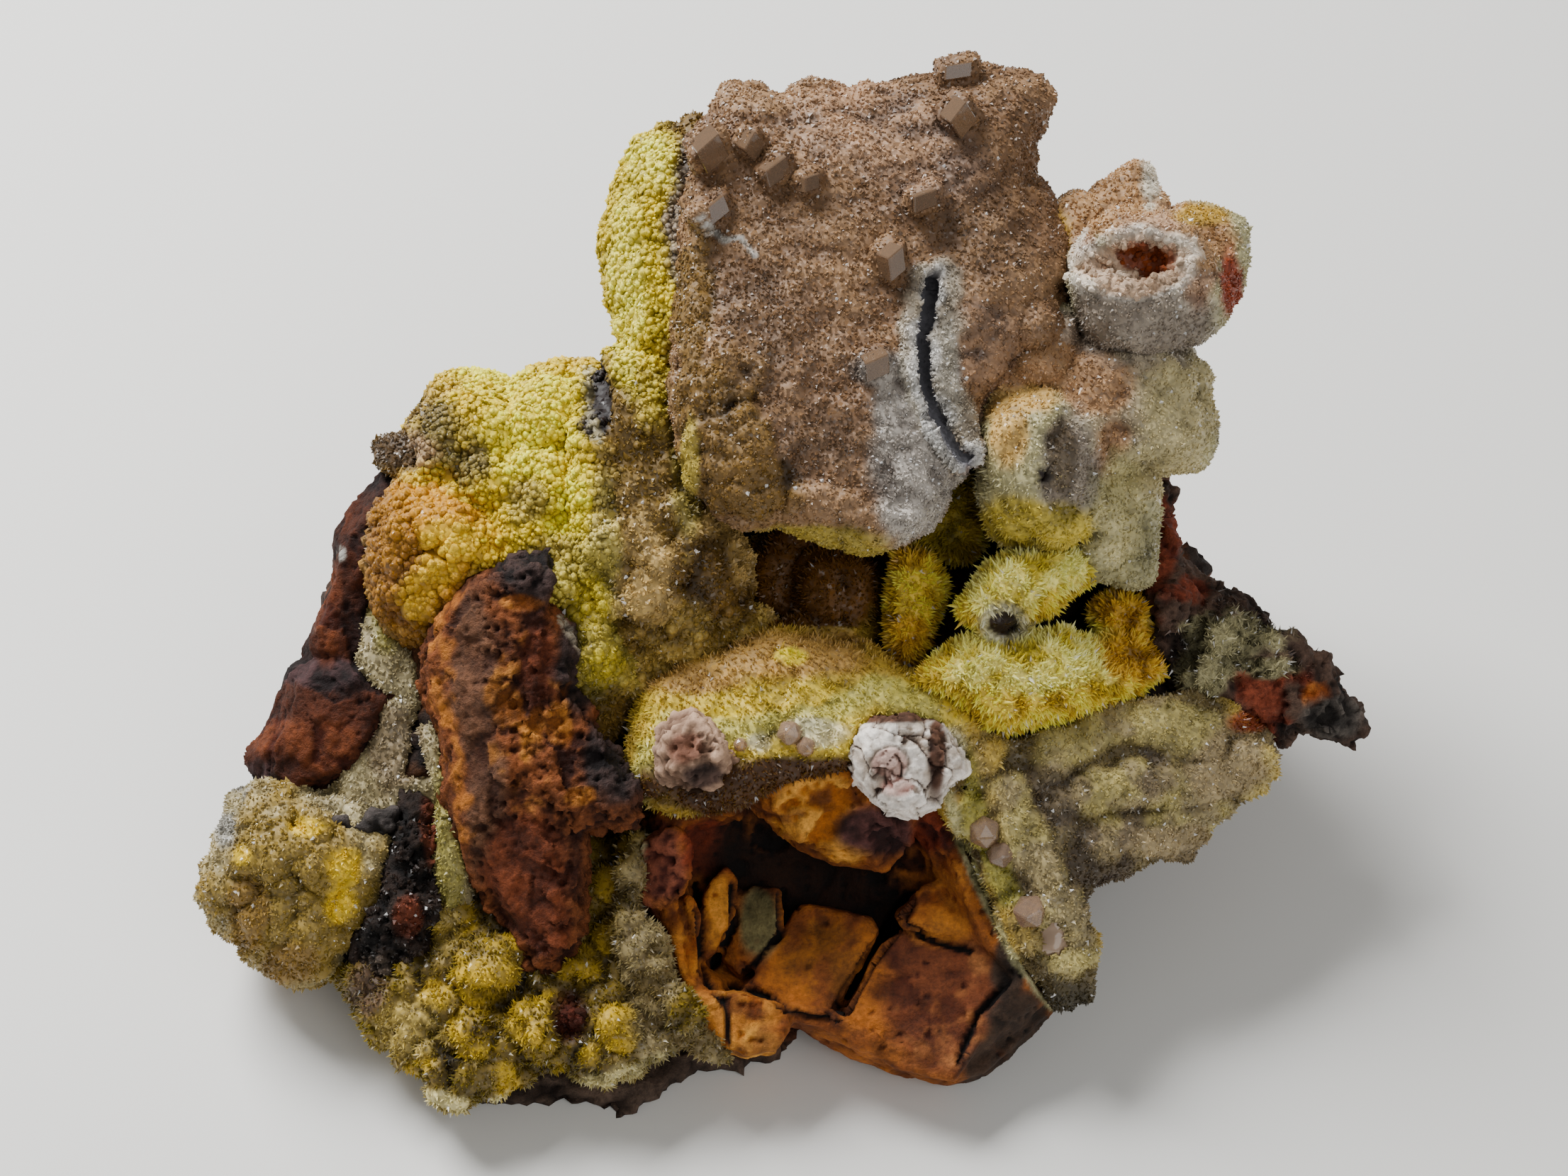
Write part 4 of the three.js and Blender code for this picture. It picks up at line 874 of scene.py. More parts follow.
class SPECIMEN_OT_rust_hollow(SpecimenOperator):
    """Breaks the blocky hollow in front into its rust-orange faces."""

    bl_idname = "specimen.rust_hollow"
    bl_label = "Rust hollow"

    CRACKS = (
        [(12.6, -31.6), (11, -34), (8.6, -37.6), (5.4, -43)],
        [(-5.3, -40), (-1, -41.4), (1.8, -43.2), (5.2, -43.6)],
        [(12.4, -34), (15, -35.6), (18.7, -36.5)],
        [(-8.8, -30), (-8.4, -34), (-8.2, -38.5), (-6, -42)],
        [(-5.8, -40.6), (-5.6, -46)],
        [(-0.2, -30.6), (-0.2, -34.7), (-3.8, -38.8)],
        [(-5.2, -30), (-5, -34), (-7, -38)],
        [(17.6, -47.6), (19.4, -43), (22.6, -39.6)],
    )
    RIGHT_RIM = [(16.4, -21), (18.4, -27), (20.6, -32), (23.4, -37.6), (27.4, -42.4)]
    LEFT_RIM = [(-14.6, -25), (-15.8, -30), (-14.6, -36), (-12.6, -42), (-8, -45.6)]

    def make(self, sizes):
        material = limonite_material("Orange limonite", stain=0.4, depth=0.5 * MM)
        skin = Skin(
            "blocky_hollow", "orange_limonite", material,
            voxel=0.34 * MM, swell=0.15 * MM, soften=0,
        )
        top = skin.spots((0, -21, 12, 6), (12, -26, 5, 4), (-13, -28, 4, 6))
        broad = skin.cells(4.5, 70)
        skin.push((0.2 + 0.4 * top) * MM * broad.tilt + 0.25 * MM * skin.rough(2, 71, 2))
        grain = skin.cells(0.9, 72)
        pits = smooth_step(grain.near, 0.5, 0.15) * (grain.shade > 0.8 - 0.35 * top)
        crack = np.max([skin.line(line, 0.45) for line in self.CRACKS], axis=0)
        wide = skin.line(self.CRACKS[0], 1.1)
        fine = skin.rough(0.9, 73, 2)
        skin.push((0.12 + 0.28 * top) * MM * fine - 0.35 * MM * pits - 0.7 * MM * crack - 1.2 * MM * wide)
        # Painted shade deep in the hollow, darkest where the skin lies furthest back
        painted_recess_shade = smooth_step(skin.near + 0.8 * skin.wobble(3, 9), 4.2, 1.2) * (skin.up > -44)
        rim = np.maximum(skin.line(self.RIGHT_RIM, 0.7), skin.line(self.LEFT_RIM, 1.1))
        stained = smooth_step(skin.rough(2.6, 75, 4), 0.0, 0.5)
        right_block = skin.spots((17, -42, 7, 7), (15, -37, 5, 3), ragged=0.2)
        skin.paint(
            "#5a2c0e", "#a05c20",
            ("#8a4410", "#d08a36", [(-6, -44, 5, 3.4), (-10, -37, 1.6, 4), (-6.6, -33, 1.2, 5)]),
            ("#a05a14", "#dd9c40", [(-3, -46, 2.6, 2), (3.2, -22.4, 3.6, 3.4), (6, -26, 3, 1.6)]),
            ("#5a340f", "#90561e", [(4, -37, 4.4, 4)]),
            ("#3e3a22", "#7a7048", skin.spots((-2.6, -33.6, 2, 3.8), ragged=0.15)),
            ("#3c180c", "#6e3a20", right_block),
            ("#6a3818", "#a4683a", right_block * stained),
            ("#341408", "#6a3418", 0.7 * stained * (1 - right_block)),
            ("#7a3c12", "#b4702c", [(15.6, -34, 3.4, 2), (16.6, -30, 2, 3)]),
            ("#24100f", "#573430", skin.spots((9.4, -24.4, 4.4, 2.6), ragged=0.2)),
            ("#3c1610", "#78402c", [(-12.6, -28, 2.6, 4), (-14, -34, 1.4, 3)]),
            ("#3a120a", "#783018", [(15, -24, 2.4, 3), (-7.6, -26, 3, 3)]),
            ("#16100c", "#443226", [(24, -45, 3.6, 4), (20.4, -48.6, 2.4, 3), (22.6, -38, 1.6, 4)]),
            ("#0e0806", "#241208", painted_recess_shade),
            ("#0a0605", "#1c100a", np.maximum(crack, wide)),
            ("#5c5836", "#b5ae84", rim),
        )


# The druse beds


class SPECIMEN_OT_left_druse(SpecimenOperator):
    """Grows the yellow botryoids, the amber lobe, the olive ridge and the crust behind."""

    bl_idname = "specimen.left_druse"
    bl_label = "Left druse"

    BRIGHT_LEMON = [(-25.6, 15, 5, 6), (-24, 19, 5, 3), (-21.6, 8, 2.6, 6), (-29, 21, 4, 2)]
    SCAR_EDGE = [(-19.7, 22), (-19.8, 18), (-18.6, 14.8)]

    def make(self, sizes):
        material = druse_material("Lemon druse", facet=0.4 * MM, tip=0.5, glow=0.15)
        skin = Skin("left_druse", "yellow_druse", material, sizes.middle_skin, sizes.closing)
        bed = skin.spots((-27, 11, 9.6, 13), (-24, 3, 4, 5))
        amber = skin.spots((-36.6, 2, 5.6, 8))
        crust = skin.spots((-14, 34, 4.6, 15))
        side = skin.spots((-19.6, -4, 4, 8.6))
        band = skin.spots((-10, -6.6, 9, 4.6))
        ridge = np.clip(1 - np.max([bed, amber, crust], axis=0), 0, 1)
        scar = skin.spots((-18.3, 18.6, 1.1, 3.8), ragged=0.15, soft=0.15)
        lumps = skin.cells(3.4, 80)
        clusters = skin.cells(1.9, 81)
        small = skin.cells(0.9, 82)
        tall = skin.spots((-9, 0, 8, 9), (-14, 2, 5, 5), ragged=0.5)
        soft = bed + 0.7 * crust
        clumped = np.clip(band + amber + 0.6 * side + 0.9 * tall, 0, 1)
        skin.push(MM * (1.7 * lumps.domes() * soft + 1.2 * clusters.domes() * clumped))
        skin.forget_relief(0.6)
        skin.push(MM * (0.5 * clusters.domes() * soft + (0.3 + 0.15 * ridge) * small.domes()
                        + 0.5 * skin.rough(3, 83) * ridge - 0.8 * scar))
        skin.paint(
            "#6a5222", "#d2b06c",
            ("#5c4804", "#ccac14", bed),
            ("#8c7806", "#ead22c", self.BRIGHT_LEMON),
            ("#6a5414", "#a8923c", [(-26, 9, 2.4, 2), (-23, 2, 4, 3)]),
            ("#3a2c10", "#75642c", skin.spots((-34.6, 15.6, 2.6, 3.4), (-31, 12.4, 1.8, 2.4), ragged=0.7)),
            ("#4c3a24", "#9a7c58", [(-38.4, 13.8, 3.6, 1.8)]),
            ("#5c3404", "#b47c0c", amber),
            ("#9a6c04", "#e6b822", [(-32.4, 4.8, 4, 2), (-36.8, -1, 1.8, 3), (-35, 1.6, 2.4, 1.6)]),
            ("#38260c", "#7a5c26", [(-8, 0, 3.4, 6.4), (-5, -2, 3, 3)]),
            ("#6a5a20", "#bcaa5c", [(-9.6, 14, 1.8, 9), (-12, 21, 2, 3), (-18, 5, 1.6, 7)]),
            ("#5a4414", "#c4a654", band),
            ("#4e4410", "#a8963a", side),
            ("#7c6c10", "#d0ba34", [(-19.4, -1.6, 2, 2.6), (-18, -8, 2, 2)]),
            ("#78680a", "#d4ba22", crust),
            ("#a4941c", "#ecdc50", [(-15.8, 30, 1.8, 10), (-13, 43, 2.6, 3)]),
            ("#4c4034", "#8c7c68", [(-9.8, 36, 2.4, 5), (-9, 42, 2, 4)]),
            ("#1c1413", "#4c3a36", scar),
            ("#8a8060", "#c8be94", skin.line(self.SCAR_EDGE, 0.5)),
        )
        facing = skin.facing()
        grow(
            skin, "lemon_beads", pointed_beads(), facing * np.clip(bed + crust - amber, 0, 1),
            per_mm2=1.9 * sizes.beads, tall=0.7 * sizes.bead, wide=0.9 * sizes.bead, seed=sizes.seed + 1,
            lean=0.25, sunk=0.1, spread=0.4, dark_foot=0.75, bright_tip=1.42, smooth=True,
        )
        grow(
            skin, "amber_beads", round_beads(), facing * np.clip(amber + 0.35 * side + 0.35 * band, 0, 1),
            per_mm2=sizes.beads, tall=sizes.bead, wide=sizes.bead, seed=sizes.seed + 3,
            lean=0.2, sunk=0.35, spread=0.4, dark_foot=0.45, bright_tip=1.2, smooth=True,
        )
        grow(
            skin, "left_druse_grains", druse_grains(),
            facing * np.clip(ridge + 0.25 * crust - scar, 0, 1),
            per_mm2=sizes.grains, tall=1.4 * sizes.grain, wide=1.25 * sizes.grain_girth,
            seed=sizes.seed + 2, lean=0.5, glints=0.006,
        )


class SPECIMEN_OT_middle_druse(SpecimenOperator):
    """Grows the spiky ridge across the middle and the slope that falls away to the right."""

    bl_idname = "specimen.middle_druse"
    bl_label = "Middle druse"

    FOLDS = (
        [(27, -16.6), (32, -13.6), (37, -13.2), (42, -15)],
        [(31, -20.6), (36, -20), (41, -20), (47, -18)],
        [(23, -21), (25, -27), (28, -33), (29, -37)],
        [(33, -25), (38, -25), (44, -23)],
    )
    RIM = [
        (-14, -20), (-11, -13.4), (-4, -14.6), (4, -13), (9, -10.6),
        (14, -12), (18, -17), (19.6, -24), (23, -31),
    ]
    PALE_EDGE = [(16.4, -20.4), (18.4, -27), (20.6, -32), (23, -37.6), (26, -42.4)]

    # Each blob of calcite: where it is seen and its half width, in millimetres
    BLOBS = (
        (20.2, -24.6, 1.7), (21.8, -26.8, 1.5), (24.8, -32.6, 1.8), (0.6, -14.6, 1.4),
        (2.2, -16, 1.1), (-4.4, -15.8, 0.8),
    )

    def make(self, sizes):
        material = druse_material("Olive druse", facet=0.35 * MM, tip=0.5, glow=0.1)
        skin = Skin("middle_druse", "yellow_druse", material, sizes.middle_skin, swell=0)
        slope = skin.spots((35, -22, 16, 16), (28, -41, 5, 7))
        folds = np.max([skin.line(line, 3.0) for line in self.FOLDS], axis=0)
        rim = skin.line(self.RIM, 1.6)
        clusters = skin.cells(2.0, 90)
        skin.push(MM * (0.6 * skin.rough(3.5, 91) + 0.9 * clusters.domes() * (1 - 0.7 * slope)
                        + 0.9 * folds - 0.6 * slope))
        skin.forget_relief(0.6)
        skin.push(0.3 * MM * skin.cells(0.9, 92).domes() - 1.2 * MM * skin.spots((30, -45, 4, 3)))
        patch = smooth_step(skin.rough(4, 93), 0.0, 0.35)
        bare = skin.spots((28, -20.6, 3, 3.6), (37.4, -18.6, 2.4, 2), (33, -27, 4, 4), ragged=0.8)
        frosted = skin.spots((3, -14.6, 3.4, 1.4), (-2.6, -15.6, 1.2, 1), (17, -16, 1.2, 2))
        pale_edge = skin.line(self.PALE_EDGE, 0.8)
        skin.paint(
            "#5e4c0e", "#bc9c3c",
            ("#76600a", "#dcc040", [(-6, -14, 9, 5), (4, -13, 9, 4), (14, -12, 5, 3), (-12, -17, 3, 4)]),
            ("#74501c", "#bc9450", [(0, -6.6, 10, 2.4), (-9, -9, 5, 2)]),
            ("#a08808", "#ecd034", [(0.6, -6.8, 1.7, 0.9), (-6, -13, 2, 1.2)]),
            ("#5e5030", "#b6a470", slope),
            ("#6a6028", "#b8aa66", 0.7 * slope * folds),
            ("#54483a", "#968468", 0.6 * slope * patch),
            ("#40342c", "#74624e", 0.7 * bare),
            ("#6a5a3c", "#a8946c", [(45, -18, 4, 4), (40, -26, 5, 2)]),
            ("#6e2e12", "#a4562a", [(46.4, -13.4, 2, 1.2)]),
            ("#6a641c", "#ccc060", rim),
            ("#38301c", "#7c6c44", [(29, -43, 4, 3.6)]),
            ("#8c8650", "#dcd49c", pale_edge),
            ("#8a8468", "#cfc9b0", 0.7 * frosted),
            # Amber lumps in the cavity under the slab, their colour darkened as painted shade of the
            # overhang
            ("#2c1a06", "#6a4416", skin.spots((3, 1, 8, 7)) * (skin.up > -4)),
            # Painted shade below the rim, where the ridge turns under into the hollow
            ("#1c0f06", "#4a2e14", skin.spots((0, -20, 15, 4)) * smooth_step(skin.up, -16.4, -17.4)),
        )
        facing = skin.facing()
        grow(
            skin, "middle_druse_spines", bed_spines(), facing * (1 - slope),
            per_mm2=7, tall=sizes.short_spine, wide=sizes.grain_girth * 0.85, seed=sizes.seed + 3,
            dark_foot=0.65, glints=0.01,
        )
        grow(
            skin, "right_slope_grains", druse_grains(), facing * slope,
            per_mm2=1.2 * sizes.grains, tall=1.2 * sizes.grain, wide=0.9 * sizes.grain_girth,
            seed=sizes.seed + 4, lean=0.5, glints=0.015,
        )
        self.loose_calcite(skin)

    def loose_calcite(self, skin):
        """Sets clear calcite blobs on the rim and down the slope."""
        bm = bmesh.new()
        for number, (u, v, size) in enumerate(self.BLOBS):
            turn = Euler((0.7 * number, 1.3 * number, 0.4)).to_matrix().to_4x4()
            spot = Matrix.Translation(skin.place(u, v)) @ turn @ Matrix.Diagonal((size * MM,) * 3).to_4x4()
            bmesh.ops.create_icosphere(bm, subdivisions=1, radius=1, matrix=spot)
        material = calcite_material("Pinkish calcite", "#c4a48c", see_through=0.66)
        finish_glass(bm, 0.12 * MM, "slope_calcite", material)


class SPECIMEN_OT_front_bed(SpecimenOperator):
    """Grows the bed of yellow tufts in front."""

    bl_idname = "specimen.front_bed"
    bl_label = "Front bed"

    CREST = [(-37, -51), (-31, -52.6), (-25, -50.6), (-18, -49.8), (-11, -47)]

    # Each large tuft: where it is seen and its half width, in millimetres
    TUFTS = (
        (-30.2, -39, 3.3), (-25, -44.6, 3), (-31, -45, 2.4), (-33.2, -33.6, 2.1), (-21, -38.4, 2.2),
        (-16.6, -44.4, 2.2), (-17.6, -30.2, 1.7), (-17.8, -35, 1.8), (-27.6, -36, 1.3), (-23.4, -41.4, 1.2),
        (-28, -49, 1.6), (-19.4, -47, 1.4), (-35, -41, 1.5), (-36.4, -47.4, 1.5), (-22.6, -48.4, 1.3),
    )

    # The bright share of a tuft, and how far its dark skirt of painted shade between the tufts reaches past
    # it, in millimetres
    CROWN = 0.85
    SHADE_SKIRT = 1.4

    def make(self, sizes):
        material = druse_material("Yellow druse", facet=0.35 * MM, tip=0.5, glow=0.12)
        skin = Skin("front_bed", "yellow_druse", material, sizes.middle_skin, swell=0)
        nodule = skin.spots((-21.7, -43.2, 1.9, 2.6), ragged=0.1)
        bent = skin.bent(0.9, 2.2, 105)
        tufts = Cells(bent, 2.5 * MM, 100)
        wall = skin.spots((-13.6, -36, 2.4, 12), (-9, -46, 4, 2))
        crowns = ((u, v, self.CROWN * r, self.CROWN * r) for u, v, r in self.TUFTS)
        shaded_skirts = ((u, v, r + self.SHADE_SKIRT, r + self.SHADE_SKIRT) for u, v, r in self.TUFTS)
        round_tufts = skin.spots(*crowns, ragged=0.9, soft=0.4)
        gaps = np.clip(skin.spots(*shaded_skirts) - round_tufts, 0, 1)
        small_tufts = Cells(bent, 1.3 * MM, 104)
        skin.push(MM * (1.5 * tufts.domes() * (1 - np.maximum(nodule, 0.7 * wall))
                        + 1.1 * skin.rough(2.4, 101) + 0.9 * small_tufts.domes() * (1 - nodule) - 1.3))
        skin.push(0.35 * MM * skin.cells(1.1, 102).domes())
        skin.push(0.6 * MM * nodule * skin.rough(1.3, 103))
        crest = skin.line(self.CREST, 1.0)
        skin.paint(
            "#2c2206", "#786218",
            ("#4c3a04", "#bc9a1e", round_tufts),
            # Painted shade in the gaps between the tufts
            ("#2a200a", "#6c5820", gaps),
            ("#5e4e1c", "#ae964c", [(-38, -44.6, 3, 3), (-34, -26, 2, 10)]),
            ("#74623a", "#b4a272", wall),
            ("#74683c", "#d6c88c", crest),
            ("#4c1e10", "#8a4c34", nodule),
            ("#2a1c12", "#5c4630", [(-42, -40, 2, 3)]),
        )
        grow(
            skin, "front_bed_spines", bed_spines(), skin.facing() * (1 - nodule),
            per_mm2=7, tall=sizes.short_spine, wide=sizes.spine_girth, seed=sizes.seed + 5,
            dark_foot=0.6, bright_tip=1.35, glints=0.008,
        )
        grow(
            skin, "rust_nodule_crumbs", rust_crumbs(), nodule,
            per_mm2=5, tall=0.4 * MM, wide=0.4 * MM, seed=sizes.seed + 15,
            lean=0.6, spread=0.4, dark_foot=0.6, bright_tip=1.2,
        )


class SPECIMEN_OT_lower_druse(SpecimenOperator):
    """Grows the olive lobe at the lower left and the pale druse between the rocks."""

    bl_idname = "specimen.lower_druse"
    bl_label = "Lower druse"

    BRIGHT = [(-44.4, -28, 2, 2), (-44.6, -32, 1.5, 1.8), (-54.6, -27, 1.0, 1.0), (-48, -24, 2, 1)]

    def make(self, sizes):
        material = druse_material("Pale olive druse", facet=0.35 * MM, tip=0.5, glow=0.1)
        skin = Skin("lower_druse", "yellow_druse", material, sizes.middle_skin, sizes.closing)
        lobe = skin.spots((-49, -30, 8.6, 9.6))
        clusters = skin.cells(1.7, 110)
        skin.push(MM * (1.9 * clusters.domes() * lobe + 0.5 * skin.rough(3, 111)))
        skin.push(0.3 * MM * skin.cells(0.8, 112).domes())
        skin.paint(
            "#948762", "#eee2b4",
            ("#2a2006", "#8a7230", lobe),
            ("#8a6c06", "#e2bc22", self.BRIGHT),
            ("#3e2c0c", "#86682c", [(-54, -33, 2.2, 4), (-50, -38, 3, 2)]),
            ("#605c54", "#aca89c", skin.spots((-56.4, -24.6, 1.0, 2), (-55, -19, 1, 2), ragged=0.7)),
            ("#8a8040", "#d8cc88", [(-33.8, -24, 1.6, 10), (-40, -2, 2, 4)]),
            ("#7c6c50", "#c0b090", [(-39, -16, 3, 5)]),
        )
        grow(
            skin, "lower_druse_grains", druse_grains(), skin.facing(),
            per_mm2=sizes.grains, tall=1.2 * sizes.grain, wide=sizes.grain_girth, seed=sizes.seed + 6,
            lean=0.5, dark_foot=0.75, bright_tip=1.45, glints=0.012,
        )


# The tan slab and the cluster beside it


class SPECIMEN_OT_tan_slab(SpecimenOperator):
    """Covers the slab on top with fine tan druse, its seam, its fringe and its calcite."""

    bl_idname = "specimen.tan_slab"
    bl_label = "Tan slab"

    SEAM = [(15, 31.4), (14.4, 28.6), (14.0, 25), (14.3, 21.4), (15.2, 18), (17, 14.6), (18.6, 12.4)]
    RIGHT_LIP = [(15.6, 31), (15.6, 27), (15.4, 23), (16, 19), (17.6, 15.6), (19, 13)]
    LEFT_LIP = [(14, 31.6), (13.2, 28), (13, 24.4), (13.4, 20.4), (14.6, 16.6)]
    VEIN = [(-8, 37), (-6, 35), (-4.4, 35.4), (-3, 33.6)]

    # The fine relief runs a little longer from left to right
    COMBED = [0.7, 1, 1]

    # Each rhomb of calcite: where it is seen, its size in millimetres and its turn in radians
    RHOMBS = (
        ((14, 39.4), (3.2, 2.3, 2.6), (0.5, 0.3, 0.25)),
        ((10.8, 33), (2.8, 3.4, 2.6), (0.5, 0.7, 0.4)),
        ((17.6, 47.6), (3.4, 3.4, 3), (0.6, 0.5, 0.8)),
        ((17.4, 52.2), (3.8, 2, 2.4), (0.2, 0.2, 0.15)),
        ((-1, 42.2), (3.6, 2.4, 2.4), (0.4, 0.5, 0.5)),
        ((2.4, 41), (2.4, 2, 2.2), (0.3, 0.6, 0.2)),
        ((9.2, 22.6), (3.2, 2.8, 2.4), (0.6, 0.3, 0.3)),
        ((-7.6, 44.4), (3.8, 3.8, 3.2), (0.7, 0.4, 0.6)),
        ((-3.4, 44.8), (2.8, 2.6, 2.4), (0.5, 0.6, 0.9)),
        ((-7, 38.2), (3.4, 2.4, 2), (0.3, 0.4, 0.6)),
    )
    RHOMB_SHRINK = 0.72
    RHOMB_SINK = 0.25
    RHOMB_LEAN = 0.22

    def make(self, sizes):
        material = druse_material("Tan druse", facet=0.28 * MM, tip=0.55, mottle=0.18)
        skin = Skin("tan_slab", "tan_druse", material, sizes.fine_skin, sizes.closing)
        edge = skin.spots((-6.6, 17, 5, 10), (3, 7, 9, 3.4), (-9, 30, 1.6, 12), (1, 49, 9, 1.6))
        seam = skin.line(self.SEAM, 1.0, ragged=0.3, least=-1)
        lips = skin.line(self.SEAM, 1.6, ragged=0.5) * (1 - seam)
        bank = np.maximum(
            skin.line(self.RIGHT_LIP, 3.0, ragged=0.3),
            skin.line(self.LEFT_LIP, 1.8, ragged=0.3),
        )
        crumbs = skin.cells(1.4, 120)
        skin.push(MM * (0.55 * skin.rough(8, 121, 2) + 1.1 * crumbs.domes() * edge
                        + 0.3 * bank - 1.1 * seam))
        skin.forget_relief(0.3)
        fine = rough(skin.points * self.COMBED, 1.5 * MM, 122, 2)
        skin.push(MM * (0.3 * fine + 0.16 * skin.cells(0.7, 123).domes()))
        grey = skin.spots((13, 11, 4.6, 6), (11.4, 18, 2.4, 5), (16.4, 21, 1.6, 6), (10, 22, 3, 2))
        olive = skin.spots((-6.6, 17, 5.2, 10), (-9, 28, 2.2, 8), (-3, 10, 5, 3.4), ragged=0.6)
        skin.paint(
            code_of(sizes.slab_low), code_of(sizes.slab_high),
            ("#302008", "#705426", olive),
            ("#4e4016", "#a4903c", [(3, 4.8, 7, 1.5), (-9.4, 13, 1.0, 4), (8, 3.2, 3, 1.2)]),
            ("#46321f", "#806244", 0.5 * skin.spots((-3, 26, 4, 6), (4, 15, 4, 3), (20, 35, 5, 5))),
            ("#5c4636", "#a07c5c", [(20, 24, 4, 5), (8, 47, 8, 4), (14, 43, 7, 4)]),
            ("#625850", "#b4aca2", grey),
            ("#6c6658", "#b4ac9a", 0.75 * bank),
            ("#8c8880", "#ccc8c0", skin.line(self.VEIN, 0.4, ragged=0.8)),
            ("#8c8a86", "#d4d2ce", 0.9 * lips),
            # The seam's own dark grey, painted lighter as painted light inside the deep slot
            ("#77767c", "#9c9ba0", seam),
            mottle=0.07,
        )
        grow(
            skin, "tan_slab_grains", druse_grains(), skin.facing() * (1 - seam),
            per_mm2=0.95 * sizes.grains, tall=0.9 * sizes.grain, wide=1.1 * sizes.grain_girth,
            seed=sizes.seed + 7, lean=0.6, dark_foot=0.85, bright_tip=1.35, glints=0.006, vary=0.2,
        )
        grow(
            skin, "slab_frost", druse_grains(), skin.facing() * np.clip(grey + 0.6 * bank - seam, 0, 1),
            per_mm2=0.9 * sizes.grains, tall=sizes.grain, wide=0.8 * sizes.grain_girth,
            seed=sizes.seed + 17, lean=0.7, dark_foot=0.75, glints=0.07,
        )
        self.calcite(skin)

    def calcite(self, skin):
        """Sets a crisp rhomb of calcite over each block of the solid."""
        bm = bmesh.new()
        axes = Matrix([RIGHTWARDS, UPWARDS, TOWARDS]).transposed().to_4x4()
        lean = Matrix(((1, self.RHOMB_LEAN, 0), (0, 1, 0), (0, 0, 1))).to_4x4()
        for (u, v), size, turn in self.RHOMBS:
            top = np.array(skin.place(u, v))
            centre = Vector(top - self.RHOMB_SINK * size[2] * MM * TOWARDS)
            turned = Euler(turn, "ZYX").to_matrix().to_4x4()
            grown = Matrix.Diagonal([self.RHOMB_SHRINK * s * MM for s in size]).to_4x4()
            place = Matrix.Translation(centre) @ axes @ turned @ lean @ grown
            bmesh.ops.create_cube(bm, size=1, matrix=place)
        material = calcite_material("Brown calcite", "#a5866a", see_through=0.66)
        finish_glass(bm, 0.1 * MM, "slab_calcite", material)


class SPECIMEN_OT_right_cluster(SpecimenOperator):
    """Dresses the broken stub, the lumps, the grey finger and the hanging columns."""

    bl_idname = "specimen.right_cluster"
    bl_label = "Right cluster"

    def make(self, sizes):
        material = druse_material("Pale druse", facet=0.32 * MM, tip=0.45, glow=0.1)
        skin = Skin("right_cluster", "pale_druse", material, sizes.middle_skin, sizes.closing)
        wall = skin.spots((36, 27, 7.4, 4.4), (28.4, 12.4, 2.6, 5))
        pit = skin.spots((35.6, 32.3, 5.2, 3.1), ragged=0.3, soft=0.12)
        core = skin.spots((36.4, 33.2, 3.2, 1.6), ragged=0.8, soft=0.15)
        rim = skin.spots((35.6, 32.3, 5.8, 3.6), ragged=0.3, soft=0.12) * (1 - pit)
        lumps = skin.cells(2.4, 130)
        skin.push(MM * (0.9 * lumps.domes() * (1 - np.maximum(wall, pit)) + 0.5 * skin.rough(3, 131)
                        - 0.2 * core))
        skin.push(MM * (0.25 * skin.cells(0.8, 132).domes()
                        + 0.8 * pit * (ridged(skin.points, 1.4 * MM, 133, 2) - 0.6)))
        # The hole's inside is painted near-black, as painted shade
        shaded_hole = skin.spots((26.2, 11.3, 0.8, 0.8), ragged=0.1, soft=0.15)
        skin.paint(
            "#5c5636", "#aca47a",
            ("#5c5040", "#aa9a7c", [(36, 18, 7, 7)]),
            ("#6c4c30", "#a8825c", [(31, 21, 4, 4), (24.8, 22, 4, 3.6), (28, 25, 3, 2.6), (33, 14, 2, 3)]),
            ("#6a6040", "#b8aa7c", [(40, 18, 4, 6), (38, 12, 5, 3)]),
            ("#84786a", "#c8bcaa", wall),
            ("#6c5040", "#b08e70", [(36, 37.4, 7, 2.4), (41.6, 32, 2, 4), (30, 35, 1.6, 2)]),
            ("#6c4a2a", "#a88258", [(42.6, 35, 3, 3), (34, 40.5, 6, 3.6), (31, 38, 4, 2.6)]),
            ("#8c8270", "#ccc2ae", [(37, 41, 1, 2.6)]),
            ("#6a5018", "#b08c34", [(42, 37.6, 3, 1.2), (27.4, 35, 1.6, 3)]),
            ("#7c602c", "#c09c58", [(22.6, 16, 2.2, 4), (25, 19, 3, 1.6)]),
            ("#504332", "#86765e", [(28, 13.6, 1.6, 3.6)]),
            ("#6a5c10", "#c0aa40", [(23, 6.6, 3.6, 2.6), (28, 6, 3, 2.4)]),
            ("#7c7444", "#ccc08c", [(34, 7, 2.4, 6)]),
            ("#4c140a", "#8c3c22", [(45, 30.6, 1.1, 3.6)]),
            ("#a8a298", "#dcd6ca", rim),
            ("#b0947a", "#f4e4ce", pit),
            ("#74330f", "#c87a3c", core),
            ("#120c0a", "#241a16", shaded_hole),
        )
        facing = skin.facing()
        spiky = skin.spots((24, 8, 5, 5), (31, 7, 6, 3))
        grow(
            skin, "right_cluster_grains", druse_grains(),
            facing * (1 - np.max([pit, shaded_hole, spiky], axis=0)),
            per_mm2=sizes.grains, tall=sizes.grain, wide=sizes.grain_girth, seed=sizes.seed + 8,
            lean=0.5, dark_foot=0.75, bright_tip=1.45, glints=0.015,
        )
        grow(
            skin, "right_cluster_spines", bed_spines(), facing * spiky * (1 - shaded_hole),
            per_mm2=5, tall=sizes.short_spine, wide=sizes.spine_girth, seed=sizes.seed + 9,
            dark_foot=0.6,
        )
        grow(
            skin, "stub_rubble", chalk_crumbs(), pit,
            per_mm2=6, tall=0.34 * MM, wide=0.34 * MM, seed=sizes.seed + 19,
            lean=0.8, sunk=0.6, spread=0.5, dark_foot=0.5, bright_tip=1.2,
        )


# The spiny fingers


